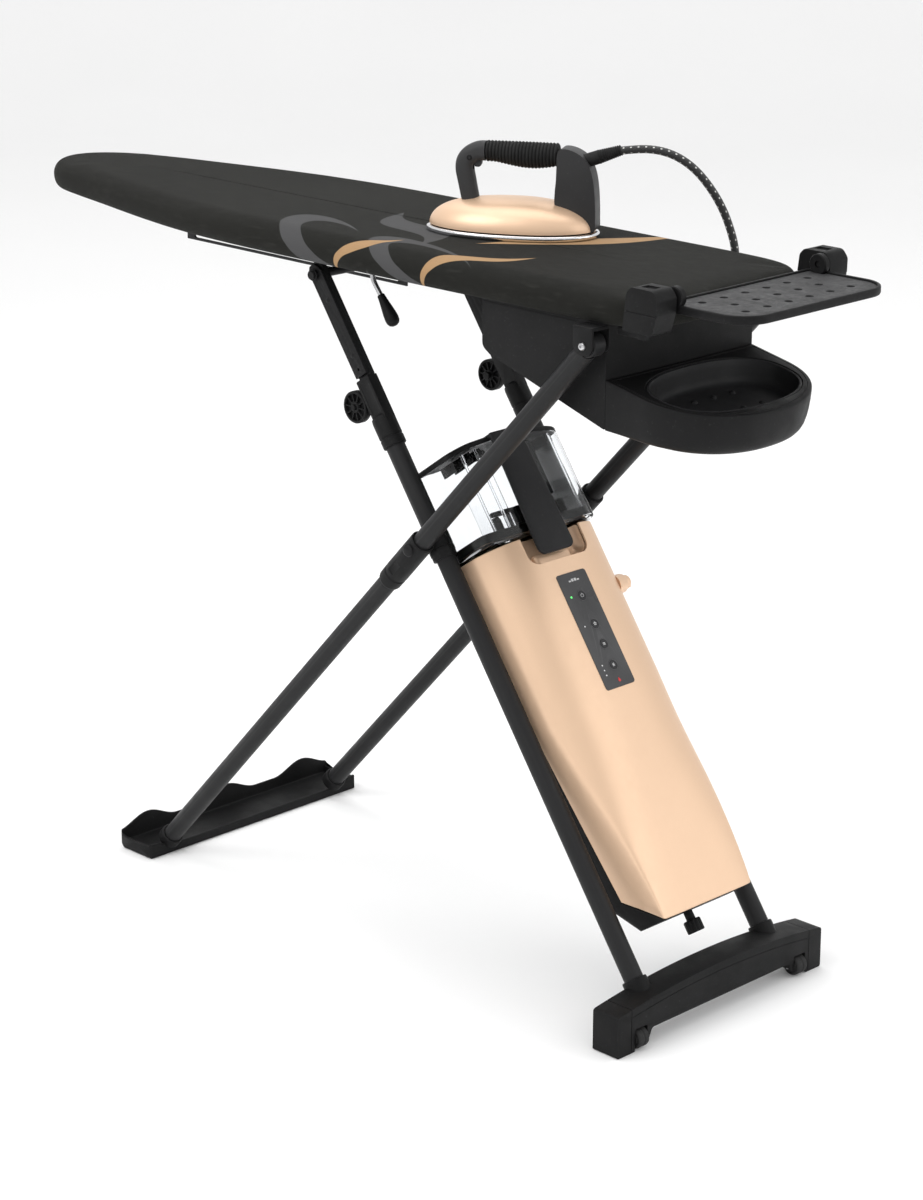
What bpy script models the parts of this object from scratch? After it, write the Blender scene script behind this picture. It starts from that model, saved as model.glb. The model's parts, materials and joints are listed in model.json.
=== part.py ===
"""Active ironing system: padded board on a scissor stand, steam generator on the inner legs, steam iron.

Metres, +Z up. X runs along the board (nose at -X), Y across it, the floor is z = 0, and the world origin is
the middle of the whole on the floor. Dimensions are given from the bench frame, which carries every part.
The inner legs carry the generator. The outer legs cross them and carry the board.
"""
import math

import bmesh
import bpy
from mathutils import Matrix, Vector

# ---------------------------------------------------------------- driving dimensions
GAP = 0.0003                        # running gap between neighbours
BENCH_X = 0.115                     # bench frame ahead of the middle of the whole
BOARD_TOP = 0.950
COVER_RIM = 0.910                   # lower edge of the cover
TAIL_X = 0.455
SIDES = (("left", -1), ("right", 1))

OUTER_ANGLE = math.radians(46.7)    # outer legs against the floor
OUTER_PIVOT = Vector((0.3716, 0, 0.8857))
OUTER_Y = 0.159
OUTER_CROSS = 0.434                 # board pivot to the scissor pivot, along the leg
OUTER_LENGTH = 1.185
PIN_R = 0.0045

INNER_ANGLE = math.radians(54.96)   # inner legs against the floor
INNER_Y = 0.122
INNER_TOP = 1.024                   # foot to the cross bar, along the leg
INNER_CROSS = 0.638                 # foot to the scissor pivot, along the leg
TUBE_R = 0.0129
SCISSOR = OUTER_PIVOT - OUTER_CROSS * Vector((math.cos(OUTER_ANGLE), 0, math.sin(OUTER_ANGLE)))
INNER_FOOT = SCISSOR + INNER_CROSS * Vector((math.cos(INNER_ANGLE), 0, -math.sin(INNER_ANGLE)))

IRON_TIP = Vector((-0.0325, -0.0375, BOARD_TOP + GAP))
IRON_YAW = math.radians(30)
TRAY_BACK = 0.3725                  # where the tray meets the housing
TRAY_RIM = 0.838                    # rim height there
TRAY_SLOPE = 0.17                   # fall of the tray towards the front

COVER_HALF = 0.1075                 # generator front cover, half width and height over the leg line
COVER_RISE = 0.072
COVER_TOP_S = 0.597
TANK_LOW = 0.6003
TANK_TOP = 0.7445
KNOB_SEAT = (0.045, 0.1062, 0.507)
PANEL_SPAN = (0.3749, 0.5361)
PANEL_HALF = 0.0264
BUTTONS = {"button_power": 0.5026, "button_fan": 0.4625, "button_mode": 0.4339, "button_steam": 0.4043}

BLACK = ((0.022, 0.022, 0.023), 0.45, 0.0)
GREY = ((0.045, 0.045, 0.047), 0.40, 0.1)
RUBBER = ((0.012, 0.012, 0.012), 0.80, 0.0)
GOLD = ((0.800, 0.585, 0.400), 0.32, 0.35)
STEEL = ((0.600, 0.600, 0.610), 0.25, 1.0)
FABRIC = ((0.028, 0.028, 0.026), 0.90, 0.0)
CLEAR = ((0.800, 0.820, 0.840), 0.08, 0.0)
WHITE = ((0.700, 0.700, 0.680), 0.50, 0.0)
GREEN = ((0.020, 0.170, 0.060), 0.40, 0.0)


# ---------------------------------------------------------------- scene and helpers
for old in list(bpy.data.objects):
    bpy.data.objects.remove(old, do_unlink=True)

parts = bpy.data.collections.new("ironing_system")
cutters = bpy.data.collections.new("cutters")
bpy.context.scene.collection.children.link(parts)
bpy.context.scene.collection.children.link(cutters)


def frame(name, location, rotation=(0, 0, 0), parent=None):
    """An empty that carries the parts of one leaning or turned group."""
    empty = bpy.data.objects.new(name, None)
    parts.objects.link(empty)
    empty.parent = parent
    empty.location = location
    empty.rotation_euler = rotation
    return empty


bench = frame("bench_frame", (BENCH_X, 0, 0))


def dress(obj, look):
    colour, roughness, metallic = look
    material = bpy.data.materials.new(obj.name + "_finish")
    material.use_nodes = True
    shader = material.node_tree.nodes["Principled BSDF"]
    shader.inputs["Base Color"].default_value = (*colour, 1)
    shader.inputs["Roughness"].default_value = roughness
    shader.inputs["Metallic"].default_value = metallic
    obj.data.materials.append(material)


def place(name, mesh, look, parent=None, location=(0, 0, 0), rotation=(0, 0, 0)):
    """Put a mesh in the scene as a part, or as a hidden tool when it has no look."""
    obj = bpy.data.objects.new(name, mesh)
    (parts if look else cutters).objects.link(obj)
    obj.parent = parent or bench
    obj.location = location
    obj.rotation_euler = rotation
    if look:
        dress(obj, look)
    else:
        obj.hide_render = True
        obj.display_type = 'WIRE'
    return obj


def to_mesh(name, bm):
    bmesh.ops.recalc_face_normals(bm, faces=bm.faces)
    mesh = bpy.data.meshes.new(name)
    bm.to_mesh(mesh)
    bm.free()
    return mesh


def box(name, low, high, look=None, parent=None, edge=0.0, **where):
    bm = bmesh.new()
    middle = (Vector(low) + Vector(high)) / 2
    size = Vector(high) - Vector(low)
    bmesh.ops.create_cube(bm, size=1, matrix=Matrix.Translation(middle) @ Matrix.Diagonal((*size, 1)))
    obj = place(name, to_mesh(name, bm), look, parent, **where)
    if edge:
        soften(obj, edge)
    return obj


def along(start, end):
    """Matrix that lays a unit +Z solid centred between two points."""
    axis = Vector(end) - Vector(start)
    turn = axis.to_track_quat('Z', 'Y').to_matrix().to_4x4()
    return Matrix.Translation((Vector(start) + Vector(end)) / 2) @ turn, axis.length


def rod(name, radius, start, end, look=None, parent=None, sides=16, end_radius=None, **where):
    matrix, length = along(start, end)
    bm = bmesh.new()
    bmesh.ops.create_cone(bm, cap_ends=True, segments=sides, radius1=radius,
                          radius2=end_radius or radius, depth=length, matrix=matrix)
    return place(name, to_mesh(name, bm), look, parent, **where)


def pipe(name, outer, inner, start, end, look, parent=None, sides=16, **where):
    """A tube with open ends: a cylinder wall given its thickness."""
    matrix, length = along(start, end)
    bm = bmesh.new()
    bmesh.ops.create_cone(bm, cap_ends=False, segments=sides, radius1=outer, radius2=outer,
                          depth=length, matrix=matrix)
    obj = place(name, to_mesh(name, bm), look, parent, **where)
    wall = obj.modifiers.new("wall", 'SOLIDIFY')
    wall.thickness = outer - inner
    wall.offset = -1
    return obj


def plate(name, outline, low, high, look=None, parent=None, edge=0.0, rotation=(0, 0, 0), location=(0, 0, 0)):
    """A flat outline extruded from low to high along its own normal."""
    curve = bpy.data.curves.new(name, 'CURVE')
    curve.dimensions = '2D'
    curve.fill_mode = 'BOTH'
    curve.extrude = (high - low) / 2
    spline = curve.splines.new('POLY')
    spline.points.add(len(outline) - 1)
    for point, (x, y) in zip(spline.points, outline):
        point.co = (x, y, 0, 1)
    spline.use_cyclic_u = True
    draft = bpy.data.objects.new(name + "_outline", curve)
    bpy.context.scene.collection.objects.link(draft)
    depsgraph = bpy.context.evaluated_depsgraph_get()
    mesh = bpy.data.meshes.new_from_object(draft.evaluated_get(depsgraph))
    bpy.data.objects.remove(draft, do_unlink=True)
    bm = bmesh.new()
    bm.from_mesh(mesh)
    bmesh.ops.remove_doubles(bm, verts=bm.verts, dist=1e-6)
    bmesh.ops.translate(bm, verts=bm.verts, vec=(0, 0, (low + high) / 2))
    obj = place(name, to_mesh(name, bm), look, parent, location, rotation)
    if edge:
        soften(obj, edge)
    return obj


def strip_cap(bm, row):
    """Cap a ring with strips between opposite points, so that an arched end keeps its arch."""
    count = len(row)
    middle = count // 2
    bm.faces.new((row[0], row[1], row[-1]))
    for i in range(1, middle - 1):
        bm.faces.new((row[i], row[i + 1], row[count - i - 1], row[count - i]))
    bm.faces.new((row[middle - 1], row[middle], row[middle + 1]))


def loft(name, rings, look=None, parent=None, arched=False, **where):
    """A closed solid through rings of equal point count, capped at both ends."""
    bm = bmesh.new()
    rows = [[bm.verts.new(point) for point in ring] for ring in rings]
    count = len(rows[0])
    for low, high in zip(rows, rows[1:]):
        for i in range(count):
            j = (i + 1) % count
            bm.faces.new((low[i], low[j], high[j], high[i]))
    for row in (rows[0], rows[-1]):
        if arched:
            strip_cap(bm, row)
        else:
            bm.faces.new(row)
    return place(name, to_mesh(name, bm), look, parent, **where)


def turned(name, profile, look, parent=None, steps=24, location=(0, 0, 0), rotation=(0, 0, 0)):
    """A profile of (radius, z) points from top to bottom, turned about Z."""
    bm = bmesh.new()
    verts = [bm.verts.new((radius, 0, z)) for radius, z in profile]
    for a, b in zip(verts, verts[1:]):
        bm.edges.new((a, b))
    mesh = bpy.data.meshes.new(name)
    bm.to_mesh(mesh)
    bm.free()
    obj = place(name, mesh, look, parent, location, rotation)
    screw = obj.modifiers.new("turn", 'SCREW')
    screw.steps = steps
    screw.render_steps = steps
    screw.use_merge_vertices = True
    screw.merge_threshold = 0.00005
    return obj


def soften(obj, width, segments=2, angle=math.radians(40)):
    bevel = obj.modifiers.new("soft_edges", 'BEVEL')
    bevel.width = width
    bevel.segments = segments
    bevel.limit_method = 'ANGLE'
    bevel.angle_limit = angle
    return obj


def combine(target, tool, operation):
    boolean = target.modifiers.new(operation.lower() + "_" + tool.name, 'BOOLEAN')
    boolean.operation = operation
    boolean.solver = 'EXACT'
    boolean.object = tool


def cut(target, tool):
    combine(target, tool, 'DIFFERENCE')


def join(target, tool):
    combine(target, tool, 'UNION')


def superellipse(half, rise, power, count):
    """Upper half of a superellipse as (across, up) points from -half to +half."""
    points = []
    for i in range(count):
        angle = math.pi * (1 - i / (count - 1))
        across = math.copysign(abs(math.cos(angle)) ** (2 / power), math.cos(angle)) * half
        up = max(math.sin(angle), 0) ** (2 / power) * rise
        points.append((across, up))
    return points


UPRIGHT = (math.pi / 2, 0, 0)                     # outline (x, y) -> world (x, z), normal -Y
CROSSWISE = (math.pi / 2, 0, math.pi / 2)         # outline (x, y) -> world (y, z), normal +X
inner_frame = frame("inner_leg_frame", INNER_FOOT, (0, INNER_ANGLE - math.pi / 2, 0), bench)
outer_frame = frame("outer_leg_frame", OUTER_PIVOT, (0, math.pi / 2 - OUTER_ANGLE, 0), bench)
iron_frame = frame("iron_frame", IRON_TIP, (0, 0, IRON_YAW), bench)


# ---------------------------------------------------------------- inner stand
def build_foot_bar():
    """Arched bar: end blocks stand on the floor, a pocket near each end holds a roller."""
    half, top_mid, top_drop = 0.198, 0.0735, 0.0155
    arch = [(half * (1 - i / 6), top_mid - top_drop * (1 - i / 6) ** 2) for i in range(13)]
    under = [(-0.1655, 0), (-0.1655, 0.031), (-0.143, 0.031), (-0.143, 0.007), (-0.139, 0.007), (-0.134, 0.021)]
    mirrored = [(-y, z) for y, z in reversed(under)]
    outline = [(half, 0)] + arch + [(-half, 0)] + under + mirrored
    bar = plate("foot_bar", outline, 0.4185, 0.4705, BLACK, rotation=CROSSWISE)
    for side, sign in SIDES:
        y = sign * INNER_Y
        boss = rod("foot_boss_" + side, 0.0165, (0, y, -0.012), (0, y, 0.036), parent=inner_frame)
        bore = rod("foot_bore_" + side, TUBE_R + GAP, (0, y, -0.0005), (0, y, 0.08), parent=inner_frame)
        axle = rod("roller_axle_" + side, 0.003, (0.460, sign * 0.1415, 0.0145), (0.460, sign * 0.168, 0.0145), sides=12)
        join(bar, boss)
        cut(bar, bore)
        join(bar, axle)


def build_rollers():
    for side, sign in SIDES:
        width = 0.0195
        profile = [(0.0033, width / 2), (0.0115, width / 2), (0.0135, width / 2 - 0.002),
                   (0.0135, -width / 2 + 0.002), (0.0115, -width / 2), (0.0033, -width / 2), (0.0033, width / 2)]
        turned("roller_" + side, profile, RUBBER, location=(0.460, sign * 0.15425, 0.0145), rotation=UPRIGHT)


def build_inner_legs():
    for side, sign in SIDES:
        y = sign * INNER_Y
        pipe("inner_leg_" + side, TUBE_R, TUBE_R - 0.0015, (0, y, 0), (0, y, 0.800), GREY, inner_frame)
        link = box("upper_link_" + side, (-0.010, y - 0.0065, 0.8725), (0.014, y + 0.0065, 1.040), GREY,
                   inner_frame, edge=0.002)
        cut(link, rod("link_bore_" + side, 0.0063, (0, y - 0.02, INNER_TOP), (0, y + 0.02, INNER_TOP),
                      parent=inner_frame))
    rod("top_cross_bar", 0.006, (0, -0.1365, INNER_TOP), (0, 0.1365, INNER_TOP), STEEL, inner_frame)


def build_cross_hubs():
    """Clamp on each inner leg with the pin on which the outer leg turns."""
    for side, sign in SIDES:
        y = sign * INNER_Y
        hub = pipe("cross_hub_" + side, 0.0172, TUBE_R + GAP, (0, y, INNER_CROSS - 0.024),
                   (0, y, INNER_CROSS + 0.024), BLACK, inner_frame)
        join(hub, rod("cross_pin_" + side, PIN_R, (0, sign * 0.1365, INNER_CROSS), (0, sign * 0.1785, INNER_CROSS),
                      parent=inner_frame))
        join(hub, rod("cross_pin_head_" + side, 0.0085, (0, sign * 0.1764, INNER_CROSS),
                      (0, sign * 0.1795, INNER_CROSS), parent=inner_frame, sides=20))


WHEEL_H, WHEEL_S, WHEEL_R = -0.0335, 0.847, 0.0215


def build_wheel_forks():
    """Moulded coupling between tube and upper link, with a narrow arm and axle for the wheel."""
    for side, sign in SIDES:
        y = sign * INNER_Y
        fork = rod("wheel_fork_" + side, 0.0158, (0, y, 0.775), (0, y, 0.818), BLACK, inner_frame)
        join(fork, box("fork_block_" + side, (-0.0108, y - 0.008, 0.815), (0.0148, y + 0.008, 0.8722),
                       parent=inner_frame))
        cut(fork, rod("fork_bore_" + side, TUBE_R + GAP, (0, y, 0.76), (0, y, 0.8003), parent=inner_frame))
        inside, outside = sign * 0.1137, sign * 0.1172
        arm = [(-0.006, 0.869), (-0.006, 0.822), (WHEEL_H - 0.003, WHEEL_S - 0.0065),
               (WHEEL_H - 0.0065, WHEEL_S), (WHEEL_H - 0.002, WHEEL_S + 0.0065)]
        low, high = sorted((-inside, -outside))
        join(fork, plate("fork_arm_" + side, arm, low, high, parent=inner_frame, rotation=UPRIGHT))
        join(fork, rod("wheel_axle_" + side, 0.0038, (WHEEL_H, sign * 0.1155, WHEEL_S),
                       (WHEEL_H, sign * 0.1325, WHEEL_S), parent=inner_frame))


def build_wheels():
    """Ribbed wheel: rim and hub turned in one piece with eight ribs over a thin web."""
    for side, sign in SIDES:
        half = 0.0055
        profile = [(0.0041, half), (0.0075, half), (0.0075, 0.0012), (0.0180, 0.0012), (0.0180, half),
                   (WHEEL_R - 0.001, half), (WHEEL_R, half - 0.001), (WHEEL_R, 0.001 - half),
                   (WHEEL_R - 0.001, -half), (0.0180, -half), (0.0180, -0.0012), (0.0075, -0.0012),
                   (0.0075, -half), (0.0041, -half), (0.0041, half)]
        wheel = turned("wheel_" + side, profile, BLACK, inner_frame, steps=20,
                       location=(WHEEL_H, sign * 0.1240, WHEEL_S), rotation=UPRIGHT)
        for i in range(4):
            turn = (math.pi / 2, i * math.pi / 4, 0)
            rib = box("wheel_rib_%s_%d" % (side, i), (-0.0185, -0.0011, 0.0008 - half), (0.0185, 0.0011, half - 0.0008),
                      parent=inner_frame, location=(WHEEL_H, sign * 0.1240, WHEEL_S), rotation=turn)
            cut(rib, rod("rib_bore_%s_%d" % (side, i), 0.0062, (WHEEL_H, -0.2, WHEEL_S), (WHEEL_H, 0.2, WHEEL_S),
                         parent=inner_frame))
            join(wheel, rib)


# ---------------------------------------------------------------- generator
def side_limit(s):
    """Half width left by the two slanting planes that narrow the generator towards its foot."""
    return min(COVER_HALF, 0.0845 + (s - 0.085) * 0.0836)


def cover_rise(s):
    return 0.056 + (COVER_RISE - 0.056) * min(1, (s - 0.08) / 0.30) ** 0.6


def cover_ring(t, inset, low_s, high_s):
    """Arched section; the foot end slants back so that the rear shell shows under it."""
    ring = []
    for across, up in superellipse(COVER_HALF - inset, 1, 3.5, 19):
        base = low_s + 0.75 * (1 - up) * 0.056
        s = base + t * (high_s - base)
        limit = side_limit(s) - inset
        ring.append((up * (cover_rise(s) - inset), max(-limit, min(limit, across)), s))
    return ring


def build_generator_cover():
    stations = [0, 0.06, 0.18, 0.35, 0.6, 1]
    cover = loft("generator_cover", [cover_ring(t, 0, 0.080, COVER_TOP_S) for t in stations], GOLD, inner_frame)
    hollow = [cover_ring(t, 0.0025, 0.0825, COVER_TOP_S + 0.01) for t in stations]
    hollow = [[(h if h > 1e-6 else -0.004, y, s) for h, y, s in ring] for ring in hollow]
    cut(cover, loft("cover_hollow", hollow, parent=inner_frame))
    join(cover, box("grip_block", (0.044, -0.062, 0.549), (0.0700, 0.062, COVER_TOP_S - 0.0002), parent=inner_frame))
    scoop = box("grip_scoop", (0.049, -0.056, 0.5565), (0.100, 0.056, 0.640), parent=inner_frame)
    soften(scoop, 0.012, 3)
    cut(cover, scoop)
    low, high = PANEL_SPAN
    cut(cover, box("panel_opening", (0.04, -PANEL_HALF - GAP, low - GAP), (0.1, PANEL_HALF + GAP, high + GAP),
                   parent=inner_frame))
    join(cover, rod("knob_seat", 0.0135, (KNOB_SEAT[0], 0.092, KNOB_SEAT[2]), KNOB_SEAT, parent=inner_frame))


def rounded_ring(low, high, half, s, radius=0.012):
    """Section of the rear shell: flat towards the cover, rounded corners at the back."""
    ring = [(high, -half), (low + radius, -half)]
    for i in range(1, 4):
        angle = math.pi / 2 * i / 4
        ring.append((low + radius - radius * math.sin(angle), -half + radius - radius * math.cos(angle)))
    ring += [(low, -half + radius)]
    ring += [(h, -y) for h, y in reversed(ring)]
    return [(h, y, s) for h, y in ring]


def build_rear_shell():
    """Black rear half; its foot end closes the generator below the slanting edge of the cover."""
    stations = [(0.0795, -0.002, 0.0550), (0.1210, -0.035, -0.0004), (0.136, -0.048, -0.0004),
                (0.550, -0.042, -0.0004), (0.600, -0.036, -0.0004)]
    rings = [rounded_ring(low, high, side_limit(s) - 0.0006, s) for s, low, high in stations]
    shell = loft("generator_back", rings, BLACK, inner_frame)
    inside = [(0.130, -0.034, 0.01), (0.142, -0.0452, 0.01), (0.550, -0.0392, 0.01), (0.5972, -0.0335, 0.01)]
    rings = [rounded_ring(low, high, side_limit(s) - 0.0034, s, 0.0095) for s, low, high in inside]
    cut(shell, loft("shell_hollow", rings, parent=inner_frame))
    cut(shell, rod("drain_bore", 0.0063, (0.0125, 0, 0.05), (0.0125, 0, 0.0885), parent=inner_frame))


def build_generator_inside():
    profile = [(0.006, 0.090), (0.020, 0.0885), (0.034, 0.083), (0.041, 0.072), (0.042, 0.060), (0.042, -0.060),
               (0.041, -0.072), (0.034, -0.083), (0.020, -0.0885), (0, -0.090)]
    inside = [(radius - 0.002, z * 0.97) for radius, z in profile[1:-1]]
    profile += [(0, -0.0873)] + inside[::-1] + [(0.006, 0.0880), (0.006, 0.090)]
    turned("boiler", profile, STEEL, inner_frame, steps=16, location=(0.008, 0, 0.255))
    pump = rod("water_pump", 0.020, (0.0, -0.058, 0.385), (0.0, -0.058, 0.445), BLACK, inner_frame)
    join(pump, box("pump_head", (-0.024, -0.080, 0.444), (0.022, -0.036, 0.474), parent=inner_frame))
    box("circuit_board", (0.054, -0.042, 0.368), (0.0556, 0.042, 0.540), GREEN, inner_frame)


def build_panel():
    low, high = PANEL_SPAN
    panel = box("control_panel", (0.0660, -PANEL_HALF, low), (0.0729, PANEL_HALF, high), GREY, inner_frame)
    for name, s in BUTTONS.items():
        cut(panel, rod(name + "_hole", 0.0063, (0.06, 0.002, s), (0.08, 0.002, s), parent=inner_frame, sides=20))
        rod(name, 0.0060, (0.0645, 0.002, s), (0.0739, 0.002, s), BLACK, inner_frame, sides=20)


def build_knob_and_plug():
    knob = rod("side_knob", 0.0098, (0, GAP, 0), (0, 0.0080, 0), GOLD, inner_frame, location=KNOB_SEAT)
    join(knob, box("knob_grip", (-0.0022, 0.006, -0.0085), (0.0022, 0.0115, 0.0085), parent=inner_frame,
                   location=KNOB_SEAT))
    profile = [(0, 0.020), (0.0060, 0.020), (0.0060, 0), (0.0120, 0), (0.0120, -0.015), (0.0108, -0.017), (0, -0.017)]
    turned("drain_plug", profile, BLACK, inner_frame, steps=16, location=(0.0125, 0, 0.0680))


def tank_ring(s_of, inset, count=17):
    """Closed rounded section of the water tank, h from -0.034 to 0.062."""
    middle, half_h, half_y = 0.014, 0.048 - inset, 0.104 - inset
    front = [(middle + up * half_h, across) for across, up in superellipse(half_y, 1, 4.5, count)]
    back = [(middle - (h - middle), y) for h, y in reversed(front[1:-1])]
    return [(h, y, s_of(y)) for h, y in front + back]


def tank_top(y):
    """The top of the tank is a shallow arch across its width."""
    return TANK_TOP - 0.020 * (y / 0.104) ** 2


def build_tank():
    tank = loft("water_tank", [tank_ring(lambda y: TANK_LOW, 0), tank_ring(tank_top, 0)], CLEAR, inner_frame,
                arched=True)
    cut(tank, loft("tank_hollow", [tank_ring(lambda y: TANK_LOW + 0.0025, 0.0022),
                                   tank_ring(lambda y: tank_top(y) + 0.01, 0.0022)],
                   parent=inner_frame, arched=True))
    lid = loft("tank_handle", [tank_ring(lambda y: tank_top(y) + GAP, 0),
                               tank_ring(lambda y: tank_top(y) + 0.0075, 0)], BLACK, inner_frame, arched=True)
    strap = box("handle_strap", (0.0660, -0.0270, 0.567), (0.0708, 0.0270, TANK_TOP + 0.0068), parent=inner_frame)
    soften(strap, 0.0018)
    join(lid, strap)
    join(lid, box("strap_root", (0.050, -0.0262, TANK_TOP + 0.0006), (0.068, 0.0262, TANK_TOP + 0.0060),
                  parent=inner_frame))
    profile = [(0, 0.040), (0.012, 0.040), (0.012, 0.034), (0.023, 0.030), (0.023, -0.040), (0, -0.040)]
    turned("filter_cartridge", profile, WHITE, inner_frame, steps=20, location=(0.014, 0.050, 0.644))


# ---------------------------------------------------------------- outer stand
def build_outer_legs():
    for side, sign in SIDES:
        y = sign * OUTER_Y
        leg = pipe("outer_leg_" + side, 0.0128, 0.0113, (0, y, -OUTER_LENGTH), (0, y, -0.012), GREY, outer_frame)
        join(leg, rod("leg_eye_" + side, 0.0150, (0, sign * 0.1490, 0), (0, sign * 0.1690, 0), parent=outer_frame))
        cut(leg, rod("eye_bore_" + side, PIN_R + GAP, (0, sign * 0.13, 0), (0, sign * 0.19, 0), parent=outer_frame))
        drill = rod("cross_drill_" + side, PIN_R + GAP, (0, sign * 0.135, -OUTER_CROSS),
                    (0, sign * 0.19, -OUTER_CROSS), parent=outer_frame)
        cut(leg, drill)
        collar = pipe("cross_collar_" + side, 0.0165, 0.0128 + GAP, (0, y, -0.511), (0, y, -0.4045), BLACK,
                      outer_frame)
        cut(collar, drill)


def build_foot_trough():
    """Channel across the feet of the outer legs, with a scalloped rear wall and low front wall."""
    front, back, wall, floor, half = -0.437, -0.505, 0.004, 0.010, 0.200

    def bump(y, centre, width):
        return max(0, math.cos(min(math.pi / 2, abs(y - centre) / width * math.pi / 2)))

    stations = [-half + half * i / 12 for i in range(25)]
    stations[0:1] = [-half, -half + wall, -half + wall + 0.0004]
    stations[-1:] = [half - wall - 0.0004, half - wall, half]
    rings = []
    for y in stations:
        rear = 0.028 + 0.015 * max(bump(y, 0, 0.060), bump(y, 0.150, 0.050), bump(y, -0.150, 0.050))
        fore = 0.0125 + 0.009 * max(bump(y, 0.185, 0.05), bump(y, -0.185, 0.05))
        bottom = floor if abs(y) < half - wall else 0.0120
        rings.append([(front, y, 0), (back + 0.006, y, 0), (back, y, 0.006), (back, y, rear),
                      (back + wall, y, rear), (back + wall, y, bottom), (front - wall, y, bottom),
                      (front - wall, y, fore), (front, y, fore)])
    trough = loft("foot_trough", rings, BLACK)
    for side, sign in SIDES:
        y = sign * OUTER_Y
        join(trough, rod("trough_boss_" + side, 0.0162, (0, y, -OUTER_LENGTH - 0.0066), (0, y, -1.160),
                         parent=outer_frame))
        cut(trough, rod("trough_bore_" + side, 0.0128 + GAP, (0, y, -OUTER_LENGTH - GAP), (0, y, -1.10),
                        parent=outer_frame))


# ---------------------------------------------------------------- board
NOSE_HALF = [(-0.820, 0.0), (-0.808, 0.035), (-0.780, 0.062), (-0.740, 0.082), (-0.620, 0.109), (-0.500, 0.136),
             (-0.380, 0.156), (-0.250, 0.1640), (-0.100, 0.1645), (0.100, 0.1635), (0.250, 0.1605), (0.385, 0.1575)]


def smooth(points, steps):
    """Catmull-Rom curve through the points."""
    path = []
    for i in range(1, len(points) - 2):
        p0, p1, p2, p3 = (Vector(p) for p in points[i - 1:i + 3])
        for k in range(steps):
            t = k / steps
            path.append(0.5 * (2 * p1 + (p2 - p0) * t + (2 * p0 - 5 * p1 + 4 * p2 - p3) * t ** 2
                               + (3 * p1 - p0 - 3 * p2 + p3) * t ** 3))
    return path


def board_outline(inset):
    """Board outline, moved in by the inset, from the nose round to the tail and back."""
    mirrored = (NOSE_HALF[1][0], -NOSE_HALF[1][1])
    beyond = (NOSE_HALF[-1][0] + 0.1, NOSE_HALF[-1][1])
    half = smooth([mirrored] + NOSE_HALF + [beyond], 2)
    corner_x, corner_y = TAIL_X - 0.385, 0.0575
    half += [Vector((0.385 + corner_x * math.sin(a), 0.100 + corner_y * math.cos(a)))
             for a in (math.pi / 2 * i / 5 for i in range(6))]
    loop = half + [Vector((p.x, -p.y)) for p in reversed(half[1:])]
    moved = []
    for i, point in enumerate(loop):
        tangent = (loop[(i + 1) % len(loop)] - loop[i - 1]).normalized()
        moved.append((point.x + tangent.y * inset, point.y - tangent.x * inset))
    return moved


def build_board():
    """Sheet-metal pan that spreads the air of the blower, felt pad on top, cover pulled over both."""
    deck = plate("board_deck", board_outline(0.0078), 0.9135, 0.9300, GREY)
    cut(deck, plate("deck_hollow", board_outline(0.0094), 0.9150, 0.9400))
    plate("board_pad", board_outline(0.0068), 0.9303, 0.9465, WHITE)
    cover = plate("board_cover", board_outline(0), COVER_RIM, BOARD_TOP, FABRIC)
    cut(cover, plate("cover_inside", board_outline(0.0040), COVER_RIM - 0.02, BOARD_TOP - 0.0032))


def build_height_rail():
    """Downward channel under the deck; the cross bar of the inner legs runs in its slots."""
    outline = [(-0.048, 0.8715), (-0.045, 0.8715), (-0.045, 0.9105), (0.045, 0.9105), (0.045, 0.8715),
               (0.048, 0.8715), (0.048, 0.9131), (-0.048, 0.9131)]
    rail = plate("height_rail", outline, -0.500, -0.060, GREY, rotation=CROSSWISE)
    cut(rail, box("rail_slot", (-0.485, -0.1, 0.8752), (-0.075, 0.1, 0.8962)))


def build_pivot_brackets():
    for side, sign in SIDES:
        outline = [(0.1434, 0.8740), (0.1456, 0.8740), (0.1456, 0.9050), (0.1724, 0.9050), (0.1724, 0.8740),
                   (0.1750, 0.8740), (0.1750, 0.9096), (0.1510, 0.9096), (0.1510, 0.9131), (0.1434, 0.9131)]
        outline = [(sign * y, z) for y, z in outline]
        bracket = plate("pivot_bracket_" + side, outline, 0.3560, 0.3870, BLACK, rotation=CROSSWISE)
        pivot_x, pivot_z = OUTER_PIVOT.x, OUTER_PIVOT.z
        join(bracket, rod("pivot_bolt_" + side, PIN_R, (pivot_x, sign * 0.1445, pivot_z),
                          (pivot_x, sign * 0.1765, pivot_z)))
        join(bracket, rod("bolt_head_" + side, 0.0070, (pivot_x, sign * 0.1742, pivot_z),
                          (pivot_x, sign * 0.1780, pivot_z), sides=20))


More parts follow.
